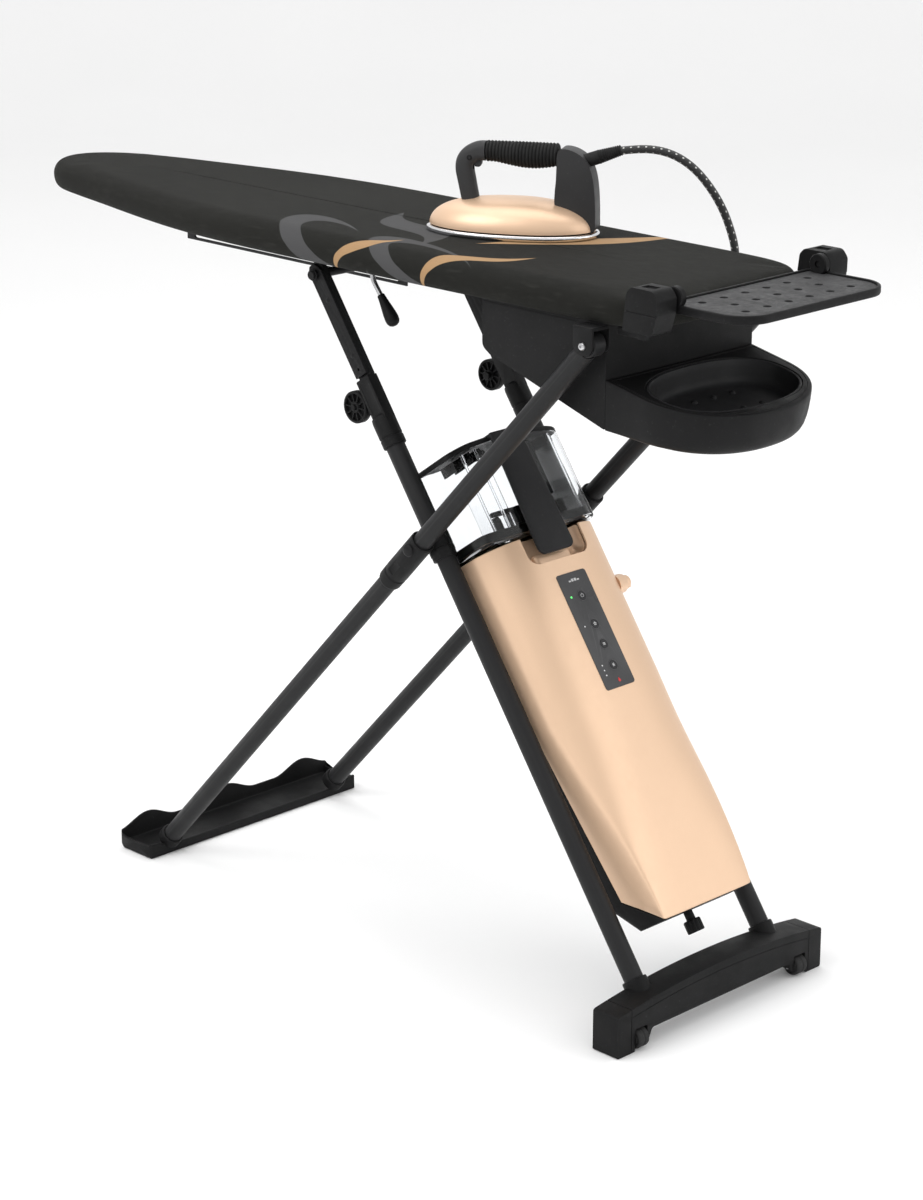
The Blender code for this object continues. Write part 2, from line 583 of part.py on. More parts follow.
def build_housing():
    """Blower housing hung under the tail, open at the top towards the deck."""
    outline = [(0.165, 0.9131), (0.165, 0.852), (0.170, 0.841), (0.181, 0.8355), (0.372, 0.776), (0.372, 0.9131)]
    inside = [(0.168, 0.95), (0.168, 0.853), (0.172, 0.8435), (0.183, 0.8385), (0.369, 0.7803), (0.369, 0.95)]
    housing = plate("blower_housing", outline, -0.143, 0.143, BLACK, edge=0.004, rotation=UPRIGHT)
    cut(housing, plate("housing_hollow", inside, -0.140, 0.140, rotation=UPRIGHT))
    motor = rod("fan_motor", 0.019, (0.285, 0, 0.8250), (0.285, 0, 0.8560), BLACK)
    join(motor, rod("motor_shaft", 0.0025, (0.285, 0, 0.855), (0.285, 0, 0.8840), sides=12))
    impeller = turned("impeller", [(0.0029, 0.014), (0.010, 0.014), (0.014, 0.003), (0.052, 0.0015), (0.052, 0),
                                   (0.0029, 0), (0.0029, 0.014)], WHITE, location=(0.285, 0, 0.8620), steps=20)
    for i in range(12):
        angle = i * math.pi / 6
        blade = box("impeller_blade_%d" % i, (0.016, -0.0006, 0.0008), (0.050, 0.0006, 0.0175),
                    location=(0.285, 0, 0.8620), rotation=(0, 0, angle))
        join(impeller, blade)


def tray_outline(inset, depth, half):
    """D shape: straight sides leaving the housing, then half an ellipse to the front."""
    straight = 0.040
    points = [(inset, -(half - inset)), (straight, -(half - inset))]
    for i in range(1, 16):
        angle = math.pi * i / 16 - math.pi / 2
        points.append((straight + (depth - straight - inset) * math.cos(angle), (half - inset) * math.sin(angle)))
    points += [(straight, half - inset), (inset, half - inset)]
    return points


def tray_ring(points, z, scale=1.0):
    """Outline on the sloping plane of the tray, z above the rim."""
    return [(TRAY_BACK + x * scale, y * scale, TRAY_RIM + z - TRAY_SLOPE * x * scale) for x, y in points]


def build_iron_tray():
    """Open tray in front of the housing, tipped forwards, with a loose basin insert."""
    outer = tray_outline(0, 0.186, 0.143)
    tray = loft("iron_tray", [tray_ring(outer, -0.048, 0.86), tray_ring(outer, -0.040, 0.92),
                              tray_ring(outer, -0.004), tray_ring(outer, 0, 0.99)], BLACK)
    pocket = tray_outline(0.020, 0.186, 0.143)
    cut(tray, loft("tray_pocket", [tray_ring(pocket, -0.036), tray_ring(pocket, 0.1)]))
    rim = tray_outline(0.0203, 0.186, 0.143)
    floor = tray_outline(0.0253, 0.186, 0.143)
    basin = loft("basin_insert", [tray_ring(floor, -0.0357), tray_ring(rim, -0.030), tray_ring(rim, -0.0015)], GREY)
    hollow = tray_outline(0.0228, 0.186, 0.143)
    deep = tray_outline(0.0283, 0.186, 0.143)
    cut(basin, loft("basin_hollow", [tray_ring(deep, -0.0332), tray_ring(hollow, -0.028), tray_ring(hollow, 0.05)]))


REST_AXIS = (0.478, 0.955)


def build_iron_rest():
    """Perforated rest behind the tail, hinged on two brackets so that it folds over the board."""
    axis_x, axis_z = REST_AXIS
    for side, sign in SIDES:
        outline = [(0.4375, 0.9000), (0.4790, 0.9000), (0.4865, 0.9400), (0.4870, 0.9640), (0.4800, 0.9750),
                   (0.4450, 0.9750), (0.4390, 0.9690)]
        low, high = sorted((-sign * 0.1400, -sign * 0.1740))
        bracket = plate("rest_bracket_" + side, outline, low, high, BLACK, edge=0.002, rotation=UPRIGHT)
        join(bracket, box("bracket_foot_" + side, (0.400, min(sign * 0.108, sign * 0.173), 0.9005),
                          (0.4700, max(sign * 0.108, sign * 0.173), 0.9096)))
        join(bracket, rod("rest_pin_" + side, 0.0040, (axis_x, sign * 0.141, axis_z),
                          (axis_x, sign * 0.1285, axis_z)))
    low_z, high_z = 0.9360, 0.9462
    rear, front, half, radius = TAIL_X + 0.0035, 0.5900, 0.1360, 0.042

    def rest_outline(inset):
        r = radius - inset
        points = [(rear + inset, -half + inset)]
        for sign_y, start in ((-1, -math.pi / 2), (1, 0)):
            centre = (front - radius, sign_y * (half - radius))
            points += [(centre[0] + r * math.cos(start + math.pi / 2 * i / 6),
                        centre[1] + r * math.sin(start + math.pi / 2 * i / 6)) for i in range(7)]
        return points + [(rear + inset, half - inset)]

    rest = plate("rest_frame", rest_outline(0), low_z, high_z, BLACK)
    cut(rest, plate("rest_recess", rest_outline(0.0045), 0.9385, high_z + 0.02))
    for side, sign in SIDES:
        ear = rod("rest_ear_" + side, 0.0130, (axis_x, sign * 0.1265, axis_z), (axis_x, sign * 0.1355, axis_z))
        join(rest, ear)
        cut(rest, rod("ear_bore_" + side, 0.0043, (axis_x, sign * 0.120, axis_z), (axis_x, sign * 0.150, axis_z)))
    mat = plate("rest_mat", rest_outline(0.0048), 0.9388, 0.9446, RUBBER)
    for side, sign in SIDES:
        cut(mat, rod("mat_relief_" + side, 0.0145, (axis_x, sign * 0.1250, axis_z), (axis_x, sign * 0.15, axis_z)))
    for row, (x, count) in enumerate(((0.4880, 6), (0.5210, 5), (0.5540, 6))):
        for i in range(count):
            y = (i - (count - 1) / 2) * 0.0385
            cut(mat, rod("mat_hole_%d_%d" % (row, i), 0.0042, (x, y, 0.93), (x, y, 0.96), sides=8))


def build_height_lever():
    """Rod with a drop-shaped knob, hinged under the deck near the left edge."""
    pivot = (-0.0760, -0.0950, 0.9060)
    path = [(0, 0, 0), (0.0035, 0, -0.020), (0.0230, 0, -0.0460)]
    lever = rod("height_lever", 0.0034, path[0], path[1], GREY, location=pivot)
    join(lever, rod("lever_barrel", 0.0050, (0, -0.010, 0), (0, 0.010, 0), location=pivot))
    join(lever, rod("lever_arm", 0.0034, (0.0030, 0, -0.0185), (0.0205, 0, -0.0425), location=pivot))
    join(lever, rod("lever_knob", 0.0052, (0.0170, 0, -0.0375), (0.0440, 0, -0.0745), location=pivot,
                    end_radius=0.0092, sides=20))


def build_hose_clip():
    clip = box("hose_clip", (0.2840, 0.1434, 0.8765), (0.3080, 0.1620, 0.8900), BLACK, edge=0.002)
    cut(clip, rod("clip_bore", 0.0056, (0.2960, 0.1530, 0.8810), (0.2960, 0.1530, 0.93)))


# ---------------------------------------------------------------- iron
IRON_LENGTH, IRON_HALF = 0.2275, 0.0570


def sole_outline(inset):
    """Ship shape: pointed tip at x = 0, widest near the middle, rounded rear."""
    half = []
    for i in range(9):
        t = i / 8
        x = 0.118 * (1 - math.cos(t * math.pi / 2)) if t < 1 else 0.118
        half.append((x, IRON_HALF * math.sin(math.pi / 2 * (x / 0.118) ** 0.62)))
    for i in range(1, 7):
        angle = math.pi / 2 * i / 6
        x = 0.118 + (IRON_LENGTH - 0.118) * math.sin(angle) ** 0.9
        half.append((x, IRON_HALF * math.cos(angle) ** 0.55))
    half = [(inset * 1.6 + x * (IRON_LENGTH - 2.2 * inset) / IRON_LENGTH, y * (IRON_HALF - inset) / IRON_HALF)
            for x, y in half]
    return half[:-1] + [(half[-1][0], 0)] + [(x, -y) for x, y in reversed(half[1:-1])]


def build_iron():
    sole = plate("iron_soleplate", sole_outline(0), 0, 0.0060, STEEL, iron_frame)
    for i in range(3):
        x = 0.050 + 0.055 * i
        cut(sole, rod("steam_hole_%d" % i, 0.0020, (x, 0, -0.01), (x, 0, 0.0040), parent=iron_frame, sides=8))
    heights = [(0.0063, 0.0010), (0.0150, 0.0012), (0.0240, 0.0045), (0.0330, 0.0120), (0.0400, 0.0220),
               (0.0445, 0.0340), (0.0462, 0.0460)]
    rings = []
    for z, inset in heights:
        outline = sole_outline(0)
        shrink = 1 - inset / IRON_HALF
        rings.append([(0.118 + (x - 0.118) * (shrink if x > 0.118 else shrink ** 0.8), y * shrink, z)
                      for x, y in outline])
    body = loft("iron_body", rings, GOLD, iron_frame)
    foot = box("handle_seat_front", (0.045, -0.014, 0.0360), (0.075, 0.014, 0.070), parent=iron_frame)
    cut(body, foot)
    post = rod("handle_front", 0.0105, (0.0580, 0, 0.0385), (0.0430, 0, 0.0840), BLACK, iron_frame)
    cut(post, box("post_base", (0, -0.1, 0), (0.2, 0.1, 0.0363), parent=iron_frame))
    join(post, rod("post_bend", 0.0108, (0.0435, 0, 0.0815), (0.0580, 0, 0.1040), parent=iron_frame))
    join(post, rod("post_top", 0.0112, (0.0550, 0, 0.1030), (0.0785, 0, 0.1043), parent=iron_frame))
    cut(post, box("trigger_slot", (0.0590, -0.0042, 0.080), (0.0900, 0.0042, 0.1025), parent=iron_frame))
    join(post, rod("trigger_pin", 0.0016, (0.0645, -0.0070, 0.0968), (0.0645, 0.0070, 0.0968), parent=iron_frame,
                   sides=12))
    grip_profile = [(0, 0.047)]
    for i in range(12):
        z = 0.047 - 0.094 * i / 11
        grip_profile.append((0.0122 if i % 2 else 0.0132, z))
    grip_profile.append((0, -0.047))
    turned("handle_grip", grip_profile, RUBBER, iron_frame, steps=16, location=(0.1270, 0, 0.1042),
           rotation=(0, math.pi / 2, 0))
    rear_outline = [(0.1745, 0.0880), (0.1745, 0.1080), (0.1810, 0.1135), (0.2040, 0.1135), (0.2160, 0.1010),
                    (0.2240, 0.0740), (0.2250, 0.0200), (0.1960, 0.0200), (0.1720, 0.0440), (0.1760, 0.0700)]
    rear = plate("handle_rear", rear_outline, -0.0150, 0.0150, BLACK, iron_frame, edge=0.003, rotation=UPRIGHT)
    seat = plate("handle_seat_rear", [(x + (0.0006 if x > 0.2 else -0.0006), z - 0.0006) for x, z in rear_outline],
                 -0.0153, 0.0153, parent=iron_frame, rotation=UPRIGHT)
    cut(body, seat)
    cut(rear, rod("relief_socket", 0.0063, (0.190, 0, 0.0905), (0.2500, 0, 0.1110), parent=iron_frame))
    relief = [(0.0034, 0.028), (0.0052, 0.028), (0.0052, 0.022), (0.0046, 0.021), (0.0054, 0.020), (0.0054, 0.012),
              (0.0048, 0.011), (0.0057, 0.010), (0.0057, 0.002), (0.0050, 0.001), (0.0060, 0), (0.0060, -0.026),
              (0.0034, -0.026), (0.0034, 0.028)]
    lean = math.atan2(0.0600, 0.0205)
    turned("strain_relief", relief, RUBBER, iron_frame, steps=16, location=(0.2265, 0, 0.1030), rotation=(0, lean, 0))
    trigger = box("steam_trigger", (-0.0035, -0.0038, -0.0135), (0.0100, 0.0038, 0.0024), GREY, iron_frame,
                  location=(0.0645, 0, 0.0968))
    cut(trigger, rod("trigger_bore", 0.0019, (0, -0.02, 0), (0, 0.02, 0), parent=iron_frame,
                     location=(0.0645, 0, 0.0968), sides=12))


def build_hose():
    """Steam hose from the strain relief over the far edge of the board to its clip."""
    curve = bpy.data.curves.new("steam_hose", 'CURVE')
    curve.dimensions = '3D'
    curve.bevel_depth = 0.0042
    curve.bevel_resolution = 2
    curve.use_fill_caps = True
    start = Vector((0.2555, 0, 0.1130))
    start.rotate(Matrix.Rotation(IRON_YAW, 3, 'Z'))
    start += IRON_TIP
    guides = [start - Vector((0.02, 0.0116, 0.004)), start, (0.2180, 0.1075, 1.0655), (0.2440, 0.1230, 1.0600),
              (0.2660, 0.1380, 1.0440), (0.2830, 0.1530, 1.0180), (0.2950, 0.1660, 0.9870), (0.3030, 0.1760, 0.9500),
              (0.3040, 0.1780, 0.9250), (0.3020, 0.1740, 0.9070), (0.2985, 0.1620, 0.8985), (0.2962, 0.1540, 0.8910),
              (0.2960, 0.1530, 0.8840), (0.2960, 0.1530, 0.8700)]
    path = smooth(guides, 3)
    spline = curve.splines.new('POLY')
    spline.points.add(len(path) - 1)
    for point, place_at in zip(spline.points, path):
        point.co = (*place_at, 1)
    hose = bpy.data.objects.new("steam_hose", curve)
    parts.objects.link(hose)
    hose.parent = bench
    dress(hose, BLACK)


for build in (build_foot_bar, build_rollers, build_inner_legs, build_cross_hubs, build_wheel_forks, build_wheels,
              build_generator_cover, build_rear_shell, build_generator_inside, build_panel, build_knob_and_plug,
              build_tank, build_outer_legs, build_foot_trough, build_board, build_height_rail,
              build_pivot_brackets, build_housing, build_iron_tray, build_iron_rest, build_height_lever,
              build_hose_clip, build_iron, build_hose):
    build()
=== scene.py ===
"""Looks of the ironing system: fine shells, fabric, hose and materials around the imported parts.

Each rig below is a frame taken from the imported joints: BENCH stands on the floor under the board, INNER
runs up the inner legs (x forward, y across, z up the leg from its foot), OUTER runs up the outer legs to
the board pivot, IRON lies under the iron with x from tip to heel. Lengths are metres.
"""
import json
import math
from functools import reduce

import bmesh
import bpy
import numpy as np
from mathutils import Matrix, Vector, noise


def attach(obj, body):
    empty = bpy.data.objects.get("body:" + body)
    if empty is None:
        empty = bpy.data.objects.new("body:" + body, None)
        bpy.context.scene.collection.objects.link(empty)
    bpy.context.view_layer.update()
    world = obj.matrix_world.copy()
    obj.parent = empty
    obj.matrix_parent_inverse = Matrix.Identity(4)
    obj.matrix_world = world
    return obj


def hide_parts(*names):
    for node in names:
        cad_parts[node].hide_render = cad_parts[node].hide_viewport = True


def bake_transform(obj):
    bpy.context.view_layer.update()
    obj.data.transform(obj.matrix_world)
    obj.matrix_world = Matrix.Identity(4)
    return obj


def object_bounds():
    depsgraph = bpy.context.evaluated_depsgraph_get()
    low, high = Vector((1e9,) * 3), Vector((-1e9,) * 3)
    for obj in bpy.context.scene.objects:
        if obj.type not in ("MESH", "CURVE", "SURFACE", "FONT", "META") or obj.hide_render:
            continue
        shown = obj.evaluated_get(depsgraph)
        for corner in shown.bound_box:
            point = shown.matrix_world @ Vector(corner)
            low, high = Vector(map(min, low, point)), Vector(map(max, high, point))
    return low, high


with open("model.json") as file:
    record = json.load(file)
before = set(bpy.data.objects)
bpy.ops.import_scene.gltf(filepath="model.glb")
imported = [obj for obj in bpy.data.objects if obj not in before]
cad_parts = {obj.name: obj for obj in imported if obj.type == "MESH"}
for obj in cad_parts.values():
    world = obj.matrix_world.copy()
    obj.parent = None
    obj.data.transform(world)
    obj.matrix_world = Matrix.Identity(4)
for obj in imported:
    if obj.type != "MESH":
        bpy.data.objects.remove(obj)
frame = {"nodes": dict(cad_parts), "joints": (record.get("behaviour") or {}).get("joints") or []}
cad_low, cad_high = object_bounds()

MIDDLE = (Vector(cad_low) + Vector(cad_high)) / 2
NODES = frame["nodes"]
JOINTS = {joint["name"]: joint for joint in frame["joints"]}
SIDES = (("left", -1), ("right", 1))
GAP = 0.0003
TURN = 2 * math.pi


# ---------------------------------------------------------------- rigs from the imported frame
def joint_at(name):
    return Vector(JOINTS[name]["pos_m"])


def joint_axis(name):
    return Vector(JOINTS[name]["axis"]).normalized()


def rig(origin, x, y, z):
    matrix = Matrix((x, y, z)).transposed().to_4x4()
    matrix.translation = origin
    return matrix


ACROSS = Vector((0, 1, 0))
UP = Vector((0, 0, 1))
SCISSOR = joint_at("stand_fold")
BENCH = Matrix.Translation((SCISSOR.x - 0.07395, 0, 0))     # under the iron's tip, on the floor
INNER_CROSS = 0.638                 # foot of the inner legs to the scissor pivot
INNER = rig(SCISSOR - INNER_CROSS * joint_axis("tank_lift"), -joint_axis("press_power"), ACROSS,
            joint_axis("tank_lift"))
PIVOT = joint_at("board_tilt")
OUTER_UP = (PIVOT - SCISSOR).normalized()
OUTER = rig(PIVOT, ACROSS.cross(OUTER_UP), ACROSS, OUTER_UP)
OUTER_CROSS = (PIVOT - SCISSOR).length
TRIGGER_X, TRIGGER_Z = 0.0645, 0.0968
IRON_Y = -joint_axis("trigger_pull")
IRON_X = IRON_Y.cross(UP)
IRON = rig(joint_at("trigger_pull") - TRIGGER_X * IRON_X - TRIGGER_Z * UP, IRON_X, IRON_Y, UP)

# For flat outlines: SIDEWAYS draws in (x, z) with the thickness along -y, CROSSWISE in (y, z) along x.
SIDEWAYS = Matrix(((1, 0, 0, 0), (0, 0, -1, 0), (0, 1, 0, 0), (0, 0, 0, 1)))
CROSSWISE = Matrix(((0, 0, 1, 0), (1, 0, 0, 0), (0, 1, 0, 0), (0, 0, 0, 1)))


def moved(matrix, *by):
    """The rig moved along its own axes."""
    return matrix @ Matrix.Translation(by)


def span(node, matrix=BENCH):
    """Lowest and highest corner of a CAD node in a rig's own axes."""
    inverse = matrix.inverted()
    points = np.array([inverse @ v.co for v in NODES[node].data.vertices])
    return Vector(points.min(0)), Vector(points.max(0))


# ---------------------------------------------------------------- materials
class Paint:
    """Writes the node tree of one material."""

    def __init__(self, name):
        self.material = bpy.data.materials.new(name)
        self.material.use_nodes = True
        self.tree = self.material.node_tree
        self.shader = self.tree.nodes["Principled BSDF"]
        self.coords = self.node("ShaderNodeTexCoord").outputs["Object"]

    def node(self, kind, **settings):
        node = self.tree.nodes.new(kind)
        for key, value in settings.items():
            setattr(node, key, value)
        return node

    def put(self, socket, value):
        if isinstance(value, bpy.types.NodeSocket):
            self.tree.links.new(value, socket)
        elif isinstance(value, tuple) and len(value) == 3 and socket.type == 'RGBA':
            socket.default_value = (*value, 1)
        else:
            socket.default_value = value

    def math(self, operation, a, b=0.0):
        node = self.node("ShaderNodeMath", operation=operation)
        for socket, value in zip(node.inputs, (a, b, 0.0)):
            self.put(socket, value)
        return node.outputs[0]

    def mul(self, a, b):
        return self.math('MULTIPLY', a, b)

    def add(self, a, b):
        return self.math('ADD', a, b)

    def sub(self, a, b):
        return self.math('SUBTRACT', a, b)

    def cloth_xy(self):
        """Both coordinates of the unrolled cloth."""
        split = self.node("ShaderNodeSeparateXYZ")
        self.put(split.inputs["Vector"], self.node("ShaderNodeUVMap", uv_map="cloth").outputs["UV"])
        return split.outputs["X"], split.outputs["Y"]

    def spread(self, value, low, high, a=0.0, b=1.0):
        """Map value from low..high to a..b, clamped."""
        node = self.node("ShaderNodeMapRange", interpolation_type='LINEAR')
        for socket, v in zip(node.inputs, (value, low, high, a, b)):
            self.put(socket, v)
        return node.outputs["Result"]

    def mix(self, factor, a, b):
        node = self.node("ShaderNodeMix", data_type='RGBA', blend_type='MIX')
        sockets = [s for s in node.inputs if s.enabled]
        for socket, value in zip(sockets, (factor, a, b)):
            self.put(socket, value)
        return [s for s in node.outputs if s.enabled][0]

    def noise(self, size, detail=2.0, stretch=(1, 1, 1), roughness=0.5):
        mapping = self.node("ShaderNodeMapping")
        self.put(mapping.inputs["Vector"], self.coords)
        mapping.inputs["Scale"].default_value = stretch
        node = self.node("ShaderNodeTexNoise")
        self.put(node.inputs["Vector"], mapping.outputs["Vector"])
        node.inputs["Scale"].default_value = 1 / size
        node.inputs["Detail"].default_value = detail
        node.inputs["Roughness"].default_value = roughness
        return node.outputs["Fac"]

    def cells(self, size):
        node = self.node("ShaderNodeTexVoronoi")
        self.put(node.inputs["Vector"], self.coords)
        node.inputs["Scale"].default_value = 1 / size
        return node

    def edges(self, low=0.52, high=0.62):
        """Bright along convex edges, where a painted highlight is laid."""
        point = self.node("ShaderNodeNewGeometry").outputs["Pointiness"]
        return self.spread(point, low, high)

    def bump(self, height, distance, under=None):
        node = self.node("ShaderNodeBump")
        node.inputs["Distance"].default_value = distance
        self.put(node.inputs["Height"], height)
        if under:
            self.put(node.inputs["Normal"], under)
        return node.outputs["Normal"]

    def set(self, **values):
        for key, value in values.items():
            self.put(self.shader.inputs[key.replace("_", " ")], value)
        return self.material


def shade(colour, factor):
    return tuple(min(1.0, c * factor) for c in colour)


def plastic(name, colour, rough=0.5, grain=0.0007, depth=0.00005, edge_highlight=0.35):
    """Moulded plastic: fine spark-eroded grain, cloudy gloss and a painted highlight along convex edges."""
    p = Paint(name)
    cloud = p.noise(0.09, 3)
    base = p.mix(p.spread(cloud, 0.3, 0.7), shade(colour, 0.86), shade(colour, 1.16))
    # painted highlight: convex edges lightened towards about twice the base colour
    base = p.mix(p.mul(p.edges(), edge_highlight), base, shade(colour, 2.1))
    dust = p.spread(p.noise(0.004, 4, roughness=0.7), 0.6, 0.78)
    base = p.mix(p.mul(dust, 0.1), base, (0.2, 0.2, 0.2))
    gloss = p.spread(p.noise(0.03, 4), 0.3, 0.7, rough - 0.07, rough + 0.08)
    normal = p.bump(p.noise(grain, 2, roughness=0.6), depth)
    normal = p.bump(p.noise(0.05, 1), 0.0003, normal)
    return p.set(Base_Color=base, Roughness=gloss, Normal=normal, Specular_IOR_Level=0.12)


def powder_coat(name, colour, rough=0.42):
    """Tube finish: orange-peel coating with faint draw lines along the tube and a painted highlight along
    convex edges.
    """
    p = Paint(name)
    lines = p.noise(0.006, 3, stretch=(1, 1, 0.04))
    base = p.mix(p.spread(lines, 0.3, 0.7), shade(colour, 0.85), shade(colour, 1.2))
    # painted highlight: convex edges lightened towards three times the base colour
    base = p.mix(p.mul(p.edges(), 0.4), base, shade(colour, 3.0))
    gloss = p.spread(p.noise(0.02, 4), 0.3, 0.7, rough - 0.06, rough + 0.08)
    normal = p.bump(p.noise(0.0016, 2), 0.00009)
    normal = p.bump(p.noise(0.012, 1), 0.00012, normal)
    return p.set(Base_Color=base, Roughness=gloss, Metallic=0.0, Normal=normal, Specular_IOR_Level=0.14)


def lacquer(name, colour):
    """Champagne lacquer: tiny metal flakes under a satin clear coat."""
    p = Paint(name)
    flake = p.cells(0.0006)
    tint = p.spread(flake.outputs["Distance"], 0.0, 0.9, 0.0, 1.0)
    base = p.mix(tint, shade(colour, 1.05), shade(colour, 0.95))
    base = p.mix(p.spread(p.noise(0.12, 2), 0.3, 0.7), base, shade(colour, 0.96))
    # painted highlight: convex edges lightened a little
    base = p.mix(p.mul(p.edges(0.54, 0.66), 0.25), base, shade(colour, 1.2))
    gloss = p.spread(p.noise(0.008, 4), 0.3, 0.7, 0.36, 0.44)
    normal = p.bump(p.noise(0.0011, 2), 0.00002)
    return p.set(Base_Color=base, Roughness=gloss, Metallic=0.45, Normal=normal, Coat_Weight=0.25,
                 Coat_Roughness=0.28)


def brushed(name, colour, rough, depth=0.00002):
    """Metal with fine lines along one axis and a few deeper scratches."""
    stretch = (0.03, 1, 1)
    p = Paint(name)
    lines = p.noise(0.0009, 4, stretch=stretch)
    smear = p.spread(p.noise(0.03, 3), 0.3, 0.7, rough - 0.05, rough + 0.09)
    base = p.mix(p.spread(lines, 0.3, 0.7), shade(colour, 0.86), shade(colour, 1.12))
    scratch = p.spread(p.noise(0.004, 5, stretch=stretch, roughness=0.7), 0.62, 0.7)
    base = p.mix(p.mul(scratch, 0.3), base, shade(colour, 0.6))
    normal = p.bump(lines, depth)
    return p.set(Base_Color=base, Roughness=smear, Metallic=1.0, Normal=normal, Anisotropic=0.4)


def rubber(name, colour, rough=0.72):
    """Soft rubber: matt, with a fine pitted skin and a mottled tone."""
    p = Paint(name)
    pits = p.cells(0.0009).outputs["Distance"]
    base = p.mix(p.spread(p.noise(0.02, 4), 0.3, 0.7), shade(colour, 0.8), shade(colour, 1.35))
    gloss = p.spread(p.noise(0.006, 3), 0.3, 0.7, rough - 0.1, rough + 0.1)
    return p.set(Base_Color=base, Roughness=gloss, Normal=p.bump(pits, 0.00006), Specular_IOR_Level=0.25)


def clear_plastic(name, tint):
    """Transparent moulding: faint flow lines and a slightly hazy skin."""
    p = Paint(name)
    flow = p.noise(0.05, 2, stretch=(1, 1, 0.3))
    gloss = p.spread(p.noise(0.01, 4), 0.4, 0.8, 0.015, 0.07)
    base = p.mix(p.spread(flow, 0.3, 0.7), tint, shade(tint, 0.97))
    return p.set(Base_Color=base, Roughness=gloss, IOR=1.28, Transmission_Weight=1.0,
                 Normal=p.bump(flow, 0.0002))


def felt(name, colour):
    p = Paint(name)
    fuzz = p.noise(0.0012, 5, roughness=0.75)
    base = p.mix(p.spread(fuzz, 0.3, 0.7), shade(colour, 0.75), shade(colour, 1.15))
    return p.set(Base_Color=base, Roughness=0.95, Sheen_Weight=0.4, Normal=p.bump(fuzz, 0.0004))


def lamp(name, colour, strength):
    """Small signal light: frosted lens with a faintly mottled glow."""
    p = Paint(name)
    frost = p.noise(0.0006, 3)
    glow = p.mix(p.spread(frost, 0.3, 0.7), colour, shade(colour, 0.7))
    return p.set(Base_Color=glow, Emission_Color=glow, Emission_Strength=strength, Roughness=0.4,
                 Normal=p.bump(frost, 0.00005))


def ellipse_field(p, x, y, cx, cy, rx, ry, angle):
    """Negative inside an ellipse, in metres near its rim."""
    c, s = math.cos(angle), math.sin(angle)
    dx = p.sub(x, cx)
    dy = p.sub(y, cy)
    u = p.add(p.mul(dx, c / rx), p.mul(dy, s / rx))
    v = p.add(p.mul(dx, -s / ry), p.mul(dy, c / ry))
    radius = p.math('SQRT', p.add(p.mul(u, u), p.mul(v, v)))
    return p.mul(p.sub(radius, 1.0), min(rx, ry))


def wave_field(p, x, y, start, end, thick, bow, swing):
    """Negative inside a ribbon from start to end that bows to one side and tapers to both tips."""
    ax = Vector(end) - Vector(start)
    length = ax.length
    ax.normalize()
    dx = p.sub(x, start[0])
    dy = p.sub(y, start[1])
    t = p.math('DIVIDE', p.add(p.mul(dx, ax.x), p.mul(dy, ax.y)), length)
    off = p.add(p.mul(dx, -ax.y), p.mul(dy, ax.x))
    half_turn = p.mul(t, math.pi)
    middle = p.add(p.mul(p.math('SINE', half_turn), bow),
                    p.mul(p.math('SINE', p.mul(half_turn, 2.0)), swing))
    width = p.mul(p.math('SINE', half_turn), thick / 2)
    gap = p.sub(p.math('ABSOLUTE', p.sub(off, middle)), width)
    ends = p.mul(p.sub(p.math('ABSOLUTE', p.sub(t, 0.5)), 0.5), length)
    return p.math('MAXIMUM', gap, ends)


def printed_weave(name, colour):
    """Woven cover with a printed pattern of plain crescents and ribbons, laid out in the unrolled cloth."""
    p = Paint(name)
    x, y = p.cloth_xy()

    def inside(field):
        return p.spread(field, -0.0004, 0.0004, 1.0, 0.0)

    def minus(a, b):
        return p.math('MAXIMUM', a, p.mul(b, -1.0))

    grey_shapes = [
        minus(ellipse_field(p, x, y, -0.115, -0.15, 0.118, 0.05, -0.55),
              ellipse_field(p, x, y, -0.093, -0.148, 0.09, 0.037, -0.5)),
        minus(ellipse_field(p, x, y, 0.078, -0.16, 0.125, 0.044, -0.35),
              ellipse_field(p, x, y, 0.102, -0.163, 0.104, 0.033, -0.32)),
        wave_field(p, x, y, (-0.13, 0.015), (0.035, -0.115), 0.05, 0.006, -0.022)]
    gold_shapes = [
        wave_field(p, x, y, (-0.075, -0.204), (0.000, -0.108), 0.018, 0.002, 0.008),
        wave_field(p, x, y, (0.085, -0.205), (0.195, -0.07), 0.024, 0.008, 0.014),
        wave_field(p, x, y, (0.08, -0.06), (0.235, 0.168), 0.036, -0.014, 0.004)]
    grey, gold = (reduce(lambda a, b: p.math('MAXIMUM', a, b), [inside(field) for field in shapes])
                  for shapes in (grey_shapes, gold_shapes))

    pitch = 0.0011
    warp = p.math('SINE', p.mul(x, TURN / pitch))
    weft = p.math('SINE', p.mul(y, TURN / pitch))
    threads = p.mul(warp, weft)
    slub = p.noise(0.006, 4, stretch=(0.2, 1, 1))
    base = p.mix(p.spread(p.noise(0.22, 3), 0.35, 0.65), shade(colour, 0.9), shade(colour, 1.12))
    base = p.mix(p.mul(grey, 0.92), base, (0.084, 0.084, 0.086))
    base = p.mix(p.mul(gold, 0.96), base, (0.46, 0.285, 0.145))
    base = p.mix(p.spread(threads, -1, 1, 0.0, 0.22), base, (0, 0, 0))
    base = p.mix(p.spread(slub, 0.55, 0.75, 0.0, 0.1), base, (0.12, 0.12, 0.11))
    gloss = p.sub(p.spread(slub, 0.3, 0.7, 0.8, 0.92), p.mul(gold, 0.22))
    normal = p.bump(threads, 0.00012)
    normal = p.bump(p.noise(0.035, 3), 0.0008, normal)
    return p.set(Base_Color=base, Roughness=gloss, Normal=normal, Sheen_Weight=0.03, Sheen_Roughness=0.45,
                 Specular_IOR_Level=0.1)


